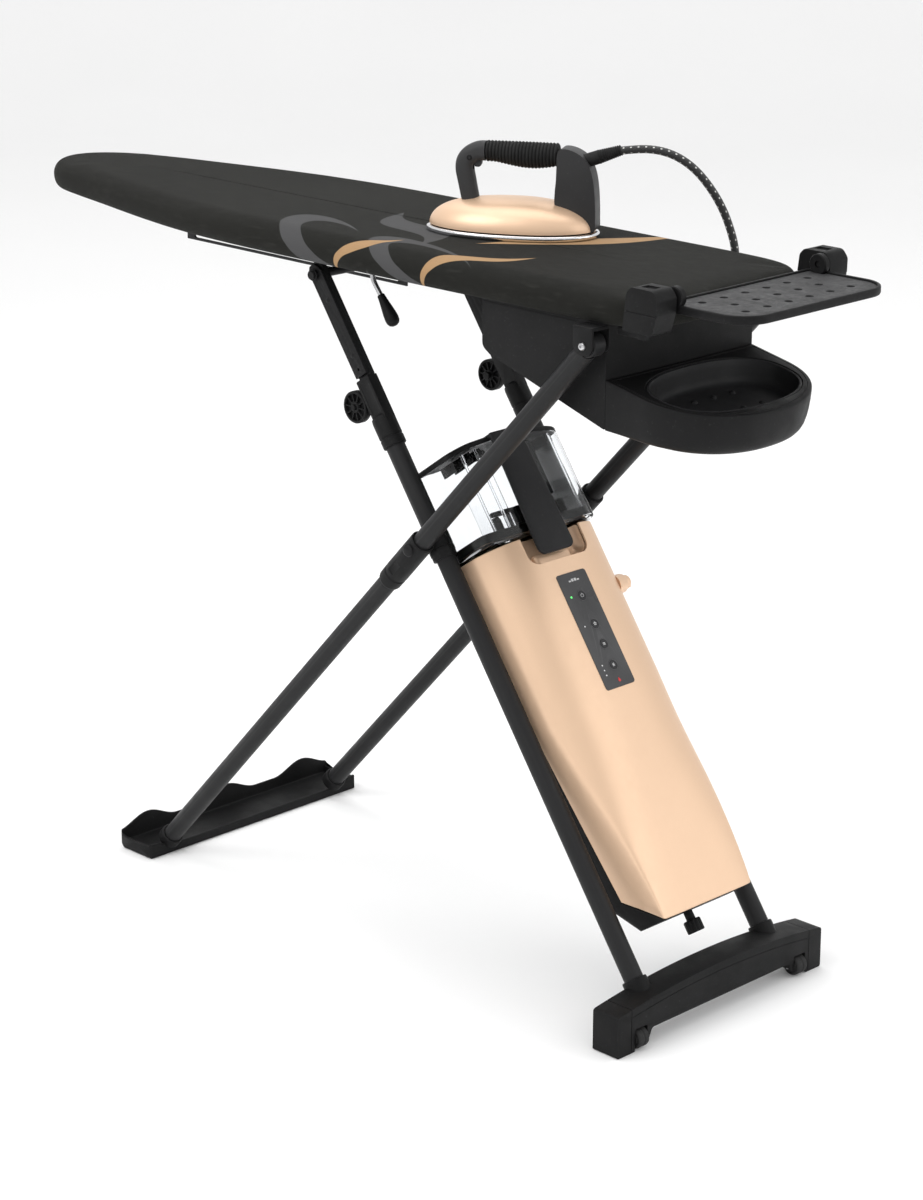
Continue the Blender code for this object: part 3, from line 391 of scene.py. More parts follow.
def braided(name):
    """Textile hose cover: crossed black threads with light flecks, mapped round and along the hose."""
    p = Paint(name)
    x, y = p.cloth_xy()

    def crossed(threads, pitch):
        """The two sets of threads, one leaning each way."""
        return [p.math('SINE', p.math(way, p.mul(x, TURN * threads), p.mul(y, TURN / pitch)))
                for way in ('ADD', 'SUBTRACT')]

    a, b = crossed(8, 0.0042)
    cross = p.mul(a, b)
    flecks = p.spread(p.mul(*crossed(2, 0.019)), 0.78, 0.9)
    base = p.mix(p.spread(cross, -1, 1), (0.006, 0.006, 0.006), (0.016, 0.016, 0.016))
    base = p.mix(flecks, base, (0.55, 0.55, 0.53))
    normal = p.bump(p.math('MAXIMUM', a, b), 0.0002)
    gloss = p.spread(p.noise(0.004, 3), 0.3, 0.7, 0.55, 0.75)
    return p.set(Base_Color=base, Roughness=gloss, Normal=normal, Sheen_Weight=0.25)


BLACK = plastic("black_moulding", (0.0085, 0.0085, 0.0088), 0.48)
CHARCOAL = plastic("charcoal_moulding", (0.022, 0.022, 0.023), 0.44)
HANDLE_GREY = plastic("handle_moulding", (0.04, 0.04, 0.041), 0.42)
DEEP = plastic("deep_black_moulding", (0.008, 0.008, 0.008), 0.5)
SATIN_GREY = plastic("satin_grey_panel", (0.075, 0.075, 0.077), 0.34, grain=0.0004, depth=0.00002)
KEY_GREY = plastic("key_grey", (0.04, 0.04, 0.042), 0.4, grain=0.0004, depth=0.00002)
MARK = plastic("printed_mark", (0.6, 0.6, 0.6), 0.45, grain=0.0003, depth=0.00001, edge_highlight=0.0)
TUBE = powder_coat("tube_coating", (0.0145, 0.0145, 0.015))
LINK = powder_coat("link_coating", (0.01, 0.01, 0.0105), 0.5)
CHAMPAGNE = lacquer("champagne_lacquer", (0.8, 0.555, 0.375))
CHROME = brushed("polished_rim", (0.78, 0.78, 0.8), 0.1, depth=0.000004)
STEEL = brushed("brushed_steel", (0.56, 0.56, 0.57), 0.28)
SOFT_BLACK = rubber("soft_black_rubber", (0.01, 0.01, 0.01))
TYRE = rubber("roller_rubber", (0.016, 0.016, 0.016), 0.62)
MAT_GREY = rubber("rest_mat_rubber", (0.036, 0.036, 0.037), 0.58)
CLEAR = clear_plastic("clear_tank_moulding", (0.96, 0.97, 0.98))
COVER = printed_weave("printed_cover_cloth", (0.0145, 0.0145, 0.0125))
PAD = felt("pad_felt", (0.55, 0.54, 0.5))
BRAID = braided("braided_hose")
WHITE = plastic("white_moulding", (0.62, 0.62, 0.6), 0.45)
BOARD_GREEN = plastic("circuit_laminate", (0.02, 0.15, 0.06), 0.35, grain=0.002)
GREEN_LAMP = lamp("green_lamp", (0.1, 0.8, 0.16), 1.6)
WHITE_LAMP = lamp("white_lamp", (0.75, 0.75, 0.75), 0.35)
RED_LAMP = lamp("red_lamp", (0.55, 0.02, 0.02), 0.3)


# ---------------------------------------------------------------- mesh tools
def dress(obj, material, body, slot, *replaces):
    """Give a finished piece its material, its body and the CAD nodes it stands for; the slot argument is not
    used.
    """
    obj.data.materials.clear()
    obj.data.materials.append(material)
    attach(obj, body)
    if replaces:
        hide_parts(*replaces)
    return obj


def linked(name, data):
    obj = bpy.data.objects.new(name, data)
    bpy.context.scene.collection.objects.link(obj)
    return obj


def from_bmesh(name, bm, matrix):
    mesh = bpy.data.meshes.new(name)
    bm.to_mesh(mesh)
    bm.free()
    obj = linked(name, mesh)
    obj.matrix_world = matrix
    return obj


def place(name, bm, matrix=BENCH):
    bmesh.ops.recalc_face_normals(bm, faces=bm.faces)
    return from_bmesh(name, bm, matrix)


def bake(obj):
    """Apply every modifier of an object to its mesh."""
    depsgraph = bpy.context.evaluated_depsgraph_get()
    mesh = bpy.data.meshes.new_from_object(obj.evaluated_get(depsgraph))
    obj.modifiers.clear()
    obj.data = mesh
    return obj


def smooth(obj, angle=35):
    obj.data.shade_smooth()
    obj.data.set_sharp_from_angle(angle=math.radians(angle))
    return obj


def rounded(obj, width, segments=3, angle=32, sharp=40):
    """Round the edges sharper than an angle and shade the result smooth."""
    bevel = obj.modifiers.new("rounding", 'BEVEL')
    bevel.width = width
    bevel.segments = segments
    bevel.limit_method = 'ANGLE'
    bevel.angle_limit = math.radians(angle)
    bevel.miter_outer = 'MITER_ARC'
    bake(obj)
    return smooth(obj, sharp)


def subdivided(obj):
    modifier = obj.modifiers.new("subdivide", 'SUBSURF')
    modifier.levels = modifier.render_levels = 1
    bake(obj)
    return smooth(obj, 60)


def boolean(obj, tools, operation='DIFFERENCE'):
    """Cut, join or intersect with finished tool objects, which are then removed."""
    for tool in tools:
        modifier = obj.modifiers.new("join", 'BOOLEAN')
        modifier.operation = operation
        modifier.solver = 'EXACT'
        modifier.object = tool
    bpy.context.view_layer.update()
    bake(obj)
    for tool in tools:
        bpy.data.objects.remove(tool, do_unlink=True)
    return obj


def merged(name, objects, matrix=BENCH):
    """One object from several, each keeping its own closed shells."""
    bm = bmesh.new()
    inverse = matrix.inverted()
    for obj in objects:
        bpy.context.view_layer.update()
        mesh = obj.data.copy()
        mesh.transform(inverse @ obj.matrix_world)
        bm.from_mesh(mesh)
        bpy.data.meshes.remove(mesh)
        bpy.data.objects.remove(obj, do_unlink=True)
    return from_bmesh(name, bm, matrix)


def box(name, low, high, matrix=BENCH, edge=0.0, segments=3):
    bm = bmesh.new()
    low, high = Vector(low), Vector(high)
    size = Matrix.Diagonal((*(high - low), 1))
    bmesh.ops.create_cube(bm, size=1, matrix=Matrix.Translation((low + high) / 2) @ size)
    obj = place(name, bm, matrix)
    if edge:
        rounded(obj, edge, segments)
    return obj


def lathe(name, profile, matrix=BENCH, steps=64):
    """Turn (radius, height) points about local Z; a profile that ends on the axis is closed there."""
    bm = bmesh.new()
    rings = []
    for radius, z in profile:
        if radius < 1e-7:
            rings.append([bm.verts.new((0, 0, z))])
        else:
            rings.append([bm.verts.new((radius * math.cos(a), radius * math.sin(a), z))
                          for a in (TURN * i / steps for i in range(steps))])
    for low, high in zip(rings, rings[1:]):
        for i in range(steps):
            j = (i + 1) % steps
            quad = [low[i % len(low)], low[j % len(low)], high[j % len(high)], high[i % len(high)]]
            corners = list(dict.fromkeys(quad))
            if len(corners) > 2:
                bm.faces.new(corners)
    bmesh.ops.remove_doubles(bm, verts=bm.verts, dist=1e-7)
    return smooth(place(name, bm, matrix), 38)


def cylinder(name, radius, low, high, matrix, steps):
    return lathe(name, [(0, high), (radius, high), (radius, low), (0, low)], matrix, steps)


def mirrored(profile):
    """A ring profile from its upper half, which starts at the bore and ends at half height."""
    return profile + [(r, -z) for r, z in reversed(profile[:-1])] + [profile[0]]


def loft(name, rings, matrix=BENCH, closed=False, angle=40):
    """Skin through rings of equal count; open lofts get a fan at each end, closed ones join last to first."""
    bm = bmesh.new()
    rows = [[bm.verts.new(point) for point in ring] for ring in rings]
    count = len(rows[0])
    pairs = list(zip(rows, rows[1:]))
    if closed:
        pairs.append((rows[-1], rows[0]))
    for low, high in pairs:
        bridge(bm, low, high)
    if not closed:
        for row in (rows[0], rows[-1]):
            centre = bm.verts.new(sum((v.co for v in row), Vector()) / count)
            for i in range(count):
                bm.faces.new((row[i], row[(i + 1) % count], centre))
    return smooth(place(name, bm, matrix), angle)


def bridge(bm, low, high):
    """Faces between two rings of equal count."""
    for i in range(len(low)):
        j = (i + 1) % len(low)
        bm.faces.new((low[i], low[j], high[j], high[i]))


def plate(name, outline, low, high, matrix=BENCH, holes=()):
    """Flat outline with optional holes, extruded from low to high along local Z."""
    curve = bpy.data.curves.new(name, 'CURVE')
    curve.dimensions = '2D'
    curve.fill_mode = 'BOTH'
    curve.extrude = (high - low) / 2
    for loop in (outline, *holes):
        spline = curve.splines.new('POLY')
        spline.points.add(len(loop) - 1)
        for point, (x, y) in zip(spline.points, loop):
            point.co = (x, y, 0, 1)
        spline.use_cyclic_u = True
    draft = linked(name + "_draft", curve)
    mesh = bpy.data.meshes.new_from_object(draft.evaluated_get(bpy.context.evaluated_depsgraph_get()))
    bpy.data.objects.remove(draft, do_unlink=True)
    bm = bmesh.new()
    bm.from_mesh(mesh)
    bmesh.ops.remove_doubles(bm, verts=bm.verts, dist=1e-7)
    bmesh.ops.translate(bm, verts=bm.verts, vec=(0, 0, (low + high) / 2))
    return place(name, bm, matrix)


def circle(cx, cy, radius, count=24):
    return [(cx + radius * math.cos(a), cy + radius * math.sin(a)) for a in
            (TURN * i / count for i in range(count))]


def curve_through(points, steps, closed=False):
    """Catmull-Rom curve through the points, with evenly many steps between them."""
    points = [Vector(p) for p in points]
    count = len(points)
    path = []
    for i in range(count if closed else count - 1):
        picks = [points[(i + k) % count] if closed else points[min(max(i + k, 0),
                                                                   count - 1)] for k in (-1, 0, 1, 2)]
        p0, p1, p2, p3 = picks
        for k in range(steps):
            t = k / steps
            path.append(0.5 * (2 * p1 + (p2 - p0) * t + (2 * p0 - 5 * p1 + 4 * p2 - p3) * t ** 2
                               + (3 * p1 - p0 - 3 * p2 + p3) * t ** 3))
    if not closed:
        path.append(points[-1])
    return path


def sweep(name, path, section, matrix=BENCH, cloth=False, up=UP):
    """Carry a section along a path. section(i, angle) returns (across, up) for 0 <= angle < 2 pi."""
    count = 48 if cloth else 40
    path = [Vector(p) for p in path]
    rings = []
    side = None
    length = [0.0]
    for i, point in enumerate(path):
        ahead = (path[min(i + 1, len(path) - 1)] - path[max(i - 1, 0)]).normalized()
        if side is None:
            side = ahead.cross(up).normalized()
        side = (side - ahead * side.dot(ahead)).normalized()
        rise = side.cross(ahead)
        ring = []
        for k in range(count):
            across, lift = section(i, TURN * k / count)
            ring.append(point + side * across + rise * lift)
        rings.append(ring)
        if i:
            length.append(length[-1] + (point - path[i - 1]).length)
    obj = loft(name, rings, matrix)
    if cloth:
        layer = obj.data.uv_layers.new(name="cloth")
        for polygon in obj.data.polygons:
            around = [obj.data.loops[k].vertex_index % count / count for k in polygon.loop_indices]
            wraps = max(around) - min(around) > 0.5
            for k, share in zip(polygon.loop_indices, around):
                row = min(obj.data.loops[k].vertex_index // count, len(length) - 1)
                layer.data[k].uv = (share + (1 if wraps and share < 0.5 else 0), length[row])
    return obj


def facing(at, axis, matrix=BENCH):
    """Matrix that puts local Z along an axis at a point of a rig."""
    axis = Vector(axis).normalized()
    turn = axis.to_track_quat('Z', 'Y').to_matrix().to_4x4()
    return matrix @ Matrix.Translation(Vector(at)) @ turn


def screw_head(name, at, axis, radius, height, matrix=BENCH):
    """Pan head with a hexagon socket."""
    seat = facing(at, axis, matrix)
    profile = [(0, height), (radius * 0.62, height), (radius * 0.86, height * 0.8), (radius, height * 0.35),
               (radius, -0.0004), (0, -0.0004)]
    head = lathe(name, profile, seat, 40)
    socket = plate(name + "_socket", circle(0, 0, radius * 0.45, 6), height * 0.35, height * 2,
                   facing(at, axis, matrix))
    return smooth(boolean(head, [socket]), 35)


# ---------------------------------------------------------------- board
COVER_LOW, BOARD_TOP = (corner.z for corner in span("board_cover"))


def board_edge():
    """The board's outline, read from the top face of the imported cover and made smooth."""
    vertices = NODES["board_cover"].data.vertices
    top = [v.co - BENCH.translation for v in vertices if v.co.z > BOARD_TOP - 0.0005]
    middle = Vector((-0.1, 0))
    unique = {(round(p.x, 4), round(p.y, 4)): Vector((p.x, p.y)) for p in top}
    ordered = sorted(unique.values(), key=lambda p: math.atan2(p.y - middle.y, (p.x - middle.x) * 0.25))
    total = sum((b - a).length for a, b in zip(ordered, ordered[1:] + ordered[:1]))
    count, loop, walked = 280, [], 0.0
    for a, b in zip(ordered, ordered[1:] + ordered[:1]):
        while len(loop) * total / count < walked + (b - a).length - 1e-9:
            loop.append(a.lerp(b, (len(loop) * total / count - walked) / (b - a).length))
        walked += (b - a).length
    for k in range(40):
        pull = 0.5 if k % 2 == 0 else -0.51
        loop = [p + ((loop[i - 1] + loop[(i + 1) % len(loop)]) / 2 - p) * pull for i, p in enumerate(loop)]
    return loop


def spine(p):
    """Nearest point of the board's middle line, towards which the top closes."""
    return Vector((max(-0.66, min(0.3, p.x)), 0))


def inward(loop, i, inset):
    """Move in from the edge: square to it at first, then towards the middle line."""
    edge = loop[i] - outward(loop, i) * min(inset, 0.012)
    return edge + (spine(loop[i]) - loop[i]).normalized() * max(0, inset - 0.012)


def outward(loop, i):
    along = loop[(i + 1) % len(loop)] - loop[i - 1]
    return Vector((along.y, -along.x)).normalized()


def hem_noise(i, count, seed):
    angle = TURN * i / count
    return noise.noise(Vector((math.cos(angle) * 14, math.sin(angle) * 14, seed)))


def swell(obj, pinned, pressure, cap, ceiling):
    """Let the cloth puff up a little under pressure, hold it under a ceiling and keep the result."""
    group = obj.vertex_groups.new(name="pinned")
    group.add(pinned, 1.0, 'REPLACE')
    start = [v.co.copy() for v in obj.data.vertices]
    cloth = obj.modifiers.new("cloth", 'CLOTH')
    cloth.settings.quality = 4
    cloth.settings.tension_stiffness = 40
    cloth.settings.compression_stiffness = 40
    cloth.settings.bending_stiffness = 6
    cloth.settings.use_pressure = True
    cloth.settings.uniform_pressure_force = pressure
    cloth.settings.vertex_group_mass = "pinned"
    cloth.settings.effector_weights.gravity = 0
    cloth.point_cache.frame_end = 14
    for step in range(1, 15):
        bpy.context.scene.frame_set(step)
    evaluated = obj.evaluated_get(bpy.context.evaluated_depsgraph_get())
    moved = [v.co.copy() for v in evaluated.data.vertices]
    obj.modifiers.clear()
    obj.vertex_groups.clear()
    bpy.context.scene.frame_set(1)
    for v, before, after in zip(obj.data.vertices, start, moved):
        step = after - before
        if step.length > cap:
            step *= cap / step.length
        v.co = before + step
        v.co.z = min(v.co.z, ceiling)
    obj.data.update()
    return obj


def build_cover():
    """Cover cloth: crowned top, rolled side and a gathered hem turned in under the board."""
    loop = board_edge()
    count = len(loop)
    height = BOARD_TOP - COVER_LOW
    rolled = [(0.046, 0.9985, 0), (0.034, 0.996, 0), (0.024, 0.987, 0), (0.016, 0.965, 0),
              (0.0105, 0.925, 0),
              (0.006, 0.86, 0), (0.0028, 0.765, 0), (0.0008, 0.64, 0), (0.0, 0.5, 0), (0.0002, 0.36, 0),
              (0.0012, 0.22, 0), (0.0032, 0.11, 0), (0.0062, 0.035, 0), (0.01, 0.0, 0.15),
              (0.0145, 0.0, 0.7), (0.019, 0.012, 1)]
    bm = bmesh.new()
    cloth = bm.loops.layers.uv.new("cloth")
    rows, flat = [], []
    inner = 0.046
    shares = (0.0, 0.06, 0.13, 0.21, 0.3, 0.4, 0.5, 0.6, 0.7, 0.8, 0.9)
    for share in shares:
        row, marks = [], []
        for i, p in enumerate(loop):
            q = spine(p).lerp(inward(loop, i, inner), share)
            row.append(bm.verts.new((q.x, q.y, COVER_LOW + height * (1.0 - 0.0015 * share))))
            marks.append(q)
        rows.append(row)
        flat.append(marks)
    travelled = [0.0] * count
    for k, (inset, lift, gather) in enumerate(rolled):
        row, marks = [], []
        for i, p in enumerate(loop):
            wobble = hem_noise(i, count, 3.0 + k * 0.35) * gather
            q = inward(loop, i, inset + 0.0022 * gather * wobble)
            z = COVER_LOW + height * lift + 0.0016 * gather * wobble + 0.0008 * gather
            row.append(bm.verts.new((q.x, q.y, z)))
            if k:
                travelled[i] += (row[i].co - rows[-1][i].co).length
            marks.append(inward(loop, i, inner) + (p - inward(loop, i, inner)).normalized() * travelled[i])
        rows.append(row)
        flat.append(marks)
    places = {v: marks[i] for row, marks in zip(rows, flat) for i, v in enumerate(row)}
    for low, high in zip(rows, rows[1:]):
        for i in range(count):
            j = (i + 1) % count
            face = bm.faces.new((low[i], low[j], high[j], high[i]))
            for corner in face.loops:
                corner[cloth].uv = places[corner.vert]
    bmesh.ops.remove_doubles(bm, verts=bm.verts, dist=1e-6)
    cover = place("cover_cloth", bm)
    hem = [v.index for v in cover.data.vertices if v.co.z < COVER_LOW + height * 0.4]
    for v in cover.data.vertices:
        v.co.z -= 0.002 if v.co.z > COVER_LOW + height * 0.6 else 0.0
    swell(cover, hem, 1.2, 0.004, BOARD_TOP)
    subdivided(cover)
    wall = cover.modifiers.new("cloth_thickness", 'SOLIDIFY')
    wall.thickness = 0.0012
    wall.offset = -1
    bake(cover)
    smooth(cover, 70)
    dress(cover, COVER, "board", "cover_fabric", "board_cover")
    cord = sweep("hem_cord", [(q.x, q.y, COVER_LOW + 0.0014) for q in
                              (p - outward(loop, i) * 0.0195 for i, p in enumerate(loop[:-1]))],
                 lambda i, a: (0.0011 * math.cos(a), 0.0011 * math.sin(a)))
    dress(cord, BRAID, "board", "cover_fabric")


def build_deck():
    """Perforated sheet under the pad, with pressed ribs; it shows when the board is seen from below."""
    loop = board_edge()
    low, high = span("board_deck")
    inset = max(p.x for p in loop) - high.x
    outline = [p - outward(loop, i) * inset for i, p in enumerate(loop)][::2]
    pitch, radius = 0.022, 0.0062
    holes = []
    keep_clear = [span(n) for n in ("height_rail", "blower_housing", "pivot_bracket_left",
                                    "pivot_bracket_right", "rest_bracket_left", "rest_bracket_right")]
    rows = int((high.y - low.y) / (pitch * 0.866))
    for row in range(-rows // 2, rows // 2 + 1):
        y = row * pitch * 0.866
        for step in range(int((high.x - low.x) / pitch)):
            x = low.x + 0.02 + (step + 0.5 * (row % 2)) * pitch
            margin = min((Vector((x, y)) - p).length for p in outline)
            blocked = any(a.x - 0.012 < x < b.x + 0.012 and a.y - 0.012 < y < b.y + 0.012 for a,
                          b in keep_clear)
            inside = abs(y) < max((abs(p.y) for p in outline if abs(p.x - x) < 0.02), default=0)
            if margin > 0.016 and inside and not blocked and x < high.x - 0.016:
                holes.append(circle(x, y, radius, 10))
    sheet = plate("deck_sheet", outline, low.z, low.z + 0.0018, holes=holes)
    smooth(sheet, 30)
    dress(sheet, LINK, "board", "grey_tube", "board_deck")
    ribs = []
    for sign in (-1, 1):
        path = [(low.x + 0.13, sign * 0.045, low.z), (0.0, sign * 0.07, low.z), (0.15, sign * 0.07, low.z)]
        ribs.append(sweep("rib", curve_through(path, 12),
                          lambda i, a: (0.0045 * math.cos(a), 0.0016 * math.sin(a))))
    dress(merged("deck_ribs", ribs), LINK, "board", "grey_tube")


PAD_CLEARANCE = 0.004               # the felt stops this much inside its packed outline, under the cover
PAD_FLATNESS = 0.84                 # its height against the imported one


def build_pad():
    """Felt pad with a worn-round upper edge, a little smaller than the inside of the cover."""
    loop = board_edge()
    low, high = span("board_pad")
    side = max(p.x for p in loop) - high.x
    rings = []
    for inset, z in ((0.0022, 0.0), (0.0004, 0.0009), (0.0, 0.0035), (0.0006, 0.0065), (0.0028, 0.0097),
                     (0.0067, 0.0125), (0.0122, 0.0144), (0.02, 0.0153), (0.039, 0.0157)):
        height = UP * (low.z + z * PAD_FLATNESS)
        depth = side + PAD_CLEARANCE + inset
        rings.append([inward(loop, i, depth).to_3d() + height for i in range(len(loop))])
    pad = loft("felt_pad", rings, angle=60)
    dress(pad, PAD, "board", "pad_felt", "board_pad")


# ---------------------------------------------------------------- iron
SOLE_HIGH = span("iron_soleplate", IRON)[1]
BODY_HIGH = span("iron_body", IRON)[1]
IRON_LENGTH = SOLE_HIGH.x
IRON_HALF = SOLE_HIGH.y
WIDEST = 0.118


def sole_line(count=96):
    """Outline of the soleplate: pointed tip at x = 0, widest near the middle, rounded heel."""
    points = []
    for i in range(count):
        t = TURN * i / count
        along = (1 - math.cos(t)) / 2
        x = IRON_LENGTH * along
        if x < WIDEST:
            y = IRON_HALF * math.sin(math.pi / 2 * (x / WIDEST) ** 0.62)
        else:
            y = IRON_HALF * max(0.0, 1 - ((x - WIDEST) / (IRON_LENGTH - WIDEST)) ** 2.6) ** (1 / 1.9)
        points.append(Vector((x, y if t < math.pi else -y)))
    return points


def shrunk(outline, inset):
    """Outline drawn in towards its widest line by an inset."""
    share = 1 - inset / IRON_HALF
    return [Vector((WIDEST + (p.x - WIDEST) * (share if p.x > WIDEST else share ** 0.8),
                    p.y * share)) for p in outline]


def ring_at(outline, z):
    return [Vector((p.x, p.y, z)) for p in outline]


def build_soleplate():
    """Rounded metal sole with three rows of steam vents, and the dark gasket over it."""
    line = sole_line()
    top = SOLE_HIGH.z + 0.0014
    profile = [(0.003, 0.0), (0.0012, 0.0003), (0.0004, 0.0011), (0.0, 0.0024), (0.0, top - 0.002),
               (0.0004, top - 0.001), (0.0014, top - 0.0002), (0.0034, top)]
    sole = loft("sole_rim", [ring_at(shrunk(line, inset), z) for inset, z in profile], IRON, angle=50)
    vents = []
    for row in range(3):
        for i in range(9 - 2 * row):
            x = 0.03 + 0.014 * row + 0.0185 * i
            for sign in ((-1, 1) if row else (1,)):
                within = 0.62 * IRON_HALF * math.sin(math.pi / 2 * min(1, x / WIDEST) ** 0.62)
                y = sign * min(0.017 * row, within)
                vents.append(lathe("vent", [(0, 0.003), (0.0016, 0.003), (0.0023, -0.001), (0, -0.001)],
                                   moved(IRON, x, y, 0), 12))
    boolean(sole, [merged("vents", vents)])
    dress(smooth(sole, 45), CHROME, "iron", "soleplate_steel", "iron_soleplate")
    gasket = loft("sole_gasket", [ring_at(shrunk(line, 0.004), top - 0.0008),
                                  ring_at(shrunk(line, 0.0036), top + 0.0004),
                                  ring_at(shrunk(line, 0.0044), top + 0.0026)], IRON)
    dress(gasket, DEEP, "iron", "rubber")


def build_dome():
    """Smooth shell over the sole, with the flats where both ends of the handle sit."""
    line = sole_line(128)
    low, high = SOLE_HIGH.z + 0.003, BODY_HIGH.z + 0.0006
    rings = []
    steps = 22
    for i in range(steps + 1):
        t = math.sin(math.pi / 2 * i / steps)
        if i == steps:
            t = 0.9995
        share = (1 - t ** 2.05) ** (1 / 2.35)
        inset = 0.0024 + (IRON_HALF - 0.0024) * (1 - share)
        rings.append(ring_at(shrunk(line, inset), low + t * (high - low)))
    lip = ring_at(shrunk(line, 0.0038), low - 0.0002)
    dome = loft("iron_shell", [lip] + rings, IRON, angle=60)
    dress(dome, CHAMPAGNE, "iron", "champagne_shell", "iron_body")


def oval(radius_across, radius_up, power=2.3):
    def section(i, a):
        c, s = math.cos(a), math.sin(a)
        return (math.copysign(abs(c) ** (2 / power), c) * radius_across,
                math.copysign(abs(s) ** (2 / power), s) * radius_up)
    return section


def build_handle():
    """Front post with its slot and pins, ribbed grip, rear post and steam trigger."""
    grip_low, grip_high = span("handle_grip", IRON)
    axis_z = (grip_low.z + grip_high.z) / 2
    path = curve_through([(0.06, 0, 0.0355), (0.057, 0, 0.05), (0.054, 0, 0.065), (0.0512, 0, 0.08),
                          (0.0525, 0, 0.0905), (0.059, 0, 0.0985), (0.0695, 0, axis_z - 0.0006),
                          (grip_low.x - 0.0005, 0, axis_z)], 8)
    last = len(path) - 1

    def post_section(i, a):
        t = i / last
        wide = 0.0112 + 0.0014 * t
        deep = 0.011 + 0.002 * t
        return oval(wide, deep, 2.6)(i, a)

    post = sweep("front_post", path, post_section, IRON, up=Vector((0, 1, 0)))
    slot = box("slot", (0.059, -0.0042, 0.08), (0.09, 0.0042, axis_z - 0.0018), IRON)
    boolean(post, [slot])
    dress(smooth(post, 40), HANDLE_GREY, "iron", "black_plastic", "handle_front")
    for side, sign in SIDES:
        head = screw_head("handle_pin_" + side, (0.06, sign * 0.0116, 0.0965), (0, sign, 0), 0.0038,
                          0.0014, IRON)
        dress(head, LINK, "iron", "steel_parts")

    ribs = 21
    length = grip_high.x - grip_low.x
    samples = ribs * 8
    rings = []
    for k in range(samples + 1):
        t = k / samples
        belly = 0.0034 * math.sin(math.pi * min(1, max(0, (t - 0.1) / 1.05))) ** 1.3
        radius = 0.0117 + belly + 0.0019 * abs(math.sin(math.pi * ribs * t)) ** 0.8
        rings.append([Vector((grip_low.x + t * length, radius * 0.94 * math.cos(a),
                              axis_z - belly * 0.9 + radius * math.sin(a)))
                      for a in (TURN * j / 56 for j in range(56))])
    dress(loft("grip_sleeve", rings, IRON, angle=70), SOFT_BLACK, "iron", "rubber", "handle_grip")

    side_view = [(0.1742, 0.0885), (0.1748, 0.105), (0.1785, 0.112), (0.187, 0.1128), (0.1985, 0.1095),
                 (0.2085, 0.103), (0.216, 0.0925), (0.221, 0.078), (0.2236, 0.06), (0.2248, 0.04),
                 (0.225, 0.024), (0.2243, 0.011), (0.215, 0.0095), (0.202, 0.015), (0.185, 0.027),
                 (0.173, 0.04), (0.1722, 0.056), (0.1736, 0.072)]
    outline = [(p.x, p.y) for p in curve_through(side_view, 5, closed=True)]
    fin = plate("rear_fin", outline, -0.0148, 0.0148, IRON @ Matrix.Rotation(math.pi / 2, 4, 'X'))
    rounded(fin, 0.0052, 6, angle=50, sharp=50)
    dress(fin, HANDLE_GREY, "iron", "black_plastic", "handle_rear")
    trigger_low, trigger_high = span("steam_trigger", IRON)
    blade = [(trigger_low.x, trigger_high.z), (trigger_high.x - 0.003, trigger_high.z),
             (trigger_high.x, trigger_high.z - 0.003), (trigger_high.x - 0.001, trigger_low.z + 0.004),
             (trigger_high.x - 0.0035, trigger_low.z), (trigger_low.x + 0.0045, trigger_low.z),
             (trigger_low.x + 0.0012, trigger_low.z + 0.0055)]
    key = plate("trigger_key", blade, -trigger_high.y, trigger_high.y,
                IRON @ Matrix.Rotation(math.pi / 2, 4, 'X'))
    rounded(key, 0.0009, 3)
    dress(key, KEY_GREY, "steam_trigger", "grey_plastic", "steam_trigger")


def build_relief_and_hose():
    """Ribbed strain relief and the braided hose that hangs over the far edge of the board."""
    start = Vector((0.2265, 0, 0.103))
    lean = Vector((0.06, 0, 0.0205)).normalized()
    profile = [(0.004, 0.03), (0.0062, 0.0296)]
    for k in range(53):
        z = 0.029 - 0.0285 * k / 52
        profile.append((0.0064 + 0.0022 * (1 - z / 0.029) + 0.00055 * math.cos(TURN * k / 5.2), z))
    profile += [(0.0088, -0.001), (0.0088, -0.024), (0.004, -0.024)]
    relief = lathe("relief_sleeve", profile + [profile[0]], facing(start, lean, IRON), 40)
    dress(relief, SOFT_BLACK, "iron", "rubber", "strain_relief")

    hose_foot = span("steam_hose")[0].z
    to_bench = BENCH.inverted() @ IRON
    heel = to_bench @ (start + lean * 0.0265)
    clip_low, clip_high = span("hose_clip")
    clip = (clip_low + clip_high) / 2
    guides = [to_bench @ (start + lean * 0.0145), heel, Vector((0.218, 0.1075, 1.0655)),
              (0.244, 0.123, 1.06), (0.266, 0.138, 1.044), (0.283, 0.153, 1.018), (0.295, 0.166, 0.987),
              Vector((0.303, 0.176, 0.95)), (0.304, 0.178, 0.925), (0.302, 0.174, 0.907),
              (0.2985, 0.162, 0.8985), (clip.x, clip.y, clip_high.z), (clip.x, clip.y, clip.z),
              (clip.x, clip.y, hose_foot)]
    path = curve_through(guides, 22)

    def knit(i, a):
        r = 0.0051 + 0.00012 * math.sin(8 * a + i * 0.9) * math.sin(8 * a - i * 0.9)
        return r * math.cos(a), r * math.sin(a)

    hose = sweep("braided_hose", path, knit, cloth=True)
    smooth(hose, 80).data.materials.append(BRAID)
    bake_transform(hose)
    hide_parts("steam_hose")
    socket = lathe("clip_socket", [(0.0054, 0.007), (0.0072, 0.0062), (0.0078, 0.0045), (0.0078, -0.0062),
                                   (0.007, -0.007), (0.0054, -0.007), (0.0054, 0.007)],
                   moved(BENCH, *clip), 40)
    arm = box("clip_arm", (clip_low.x + 0.002, clip_low.y, clip_low.z + 0.002),
              (clip_high.x - 0.002, clip.y - 0.0056, clip_high.z - 0.002), edge=0.0015)
    dress(merged("hose_socket", [socket, arm]), BLACK, "board", "black_plastic", "hose_clip")


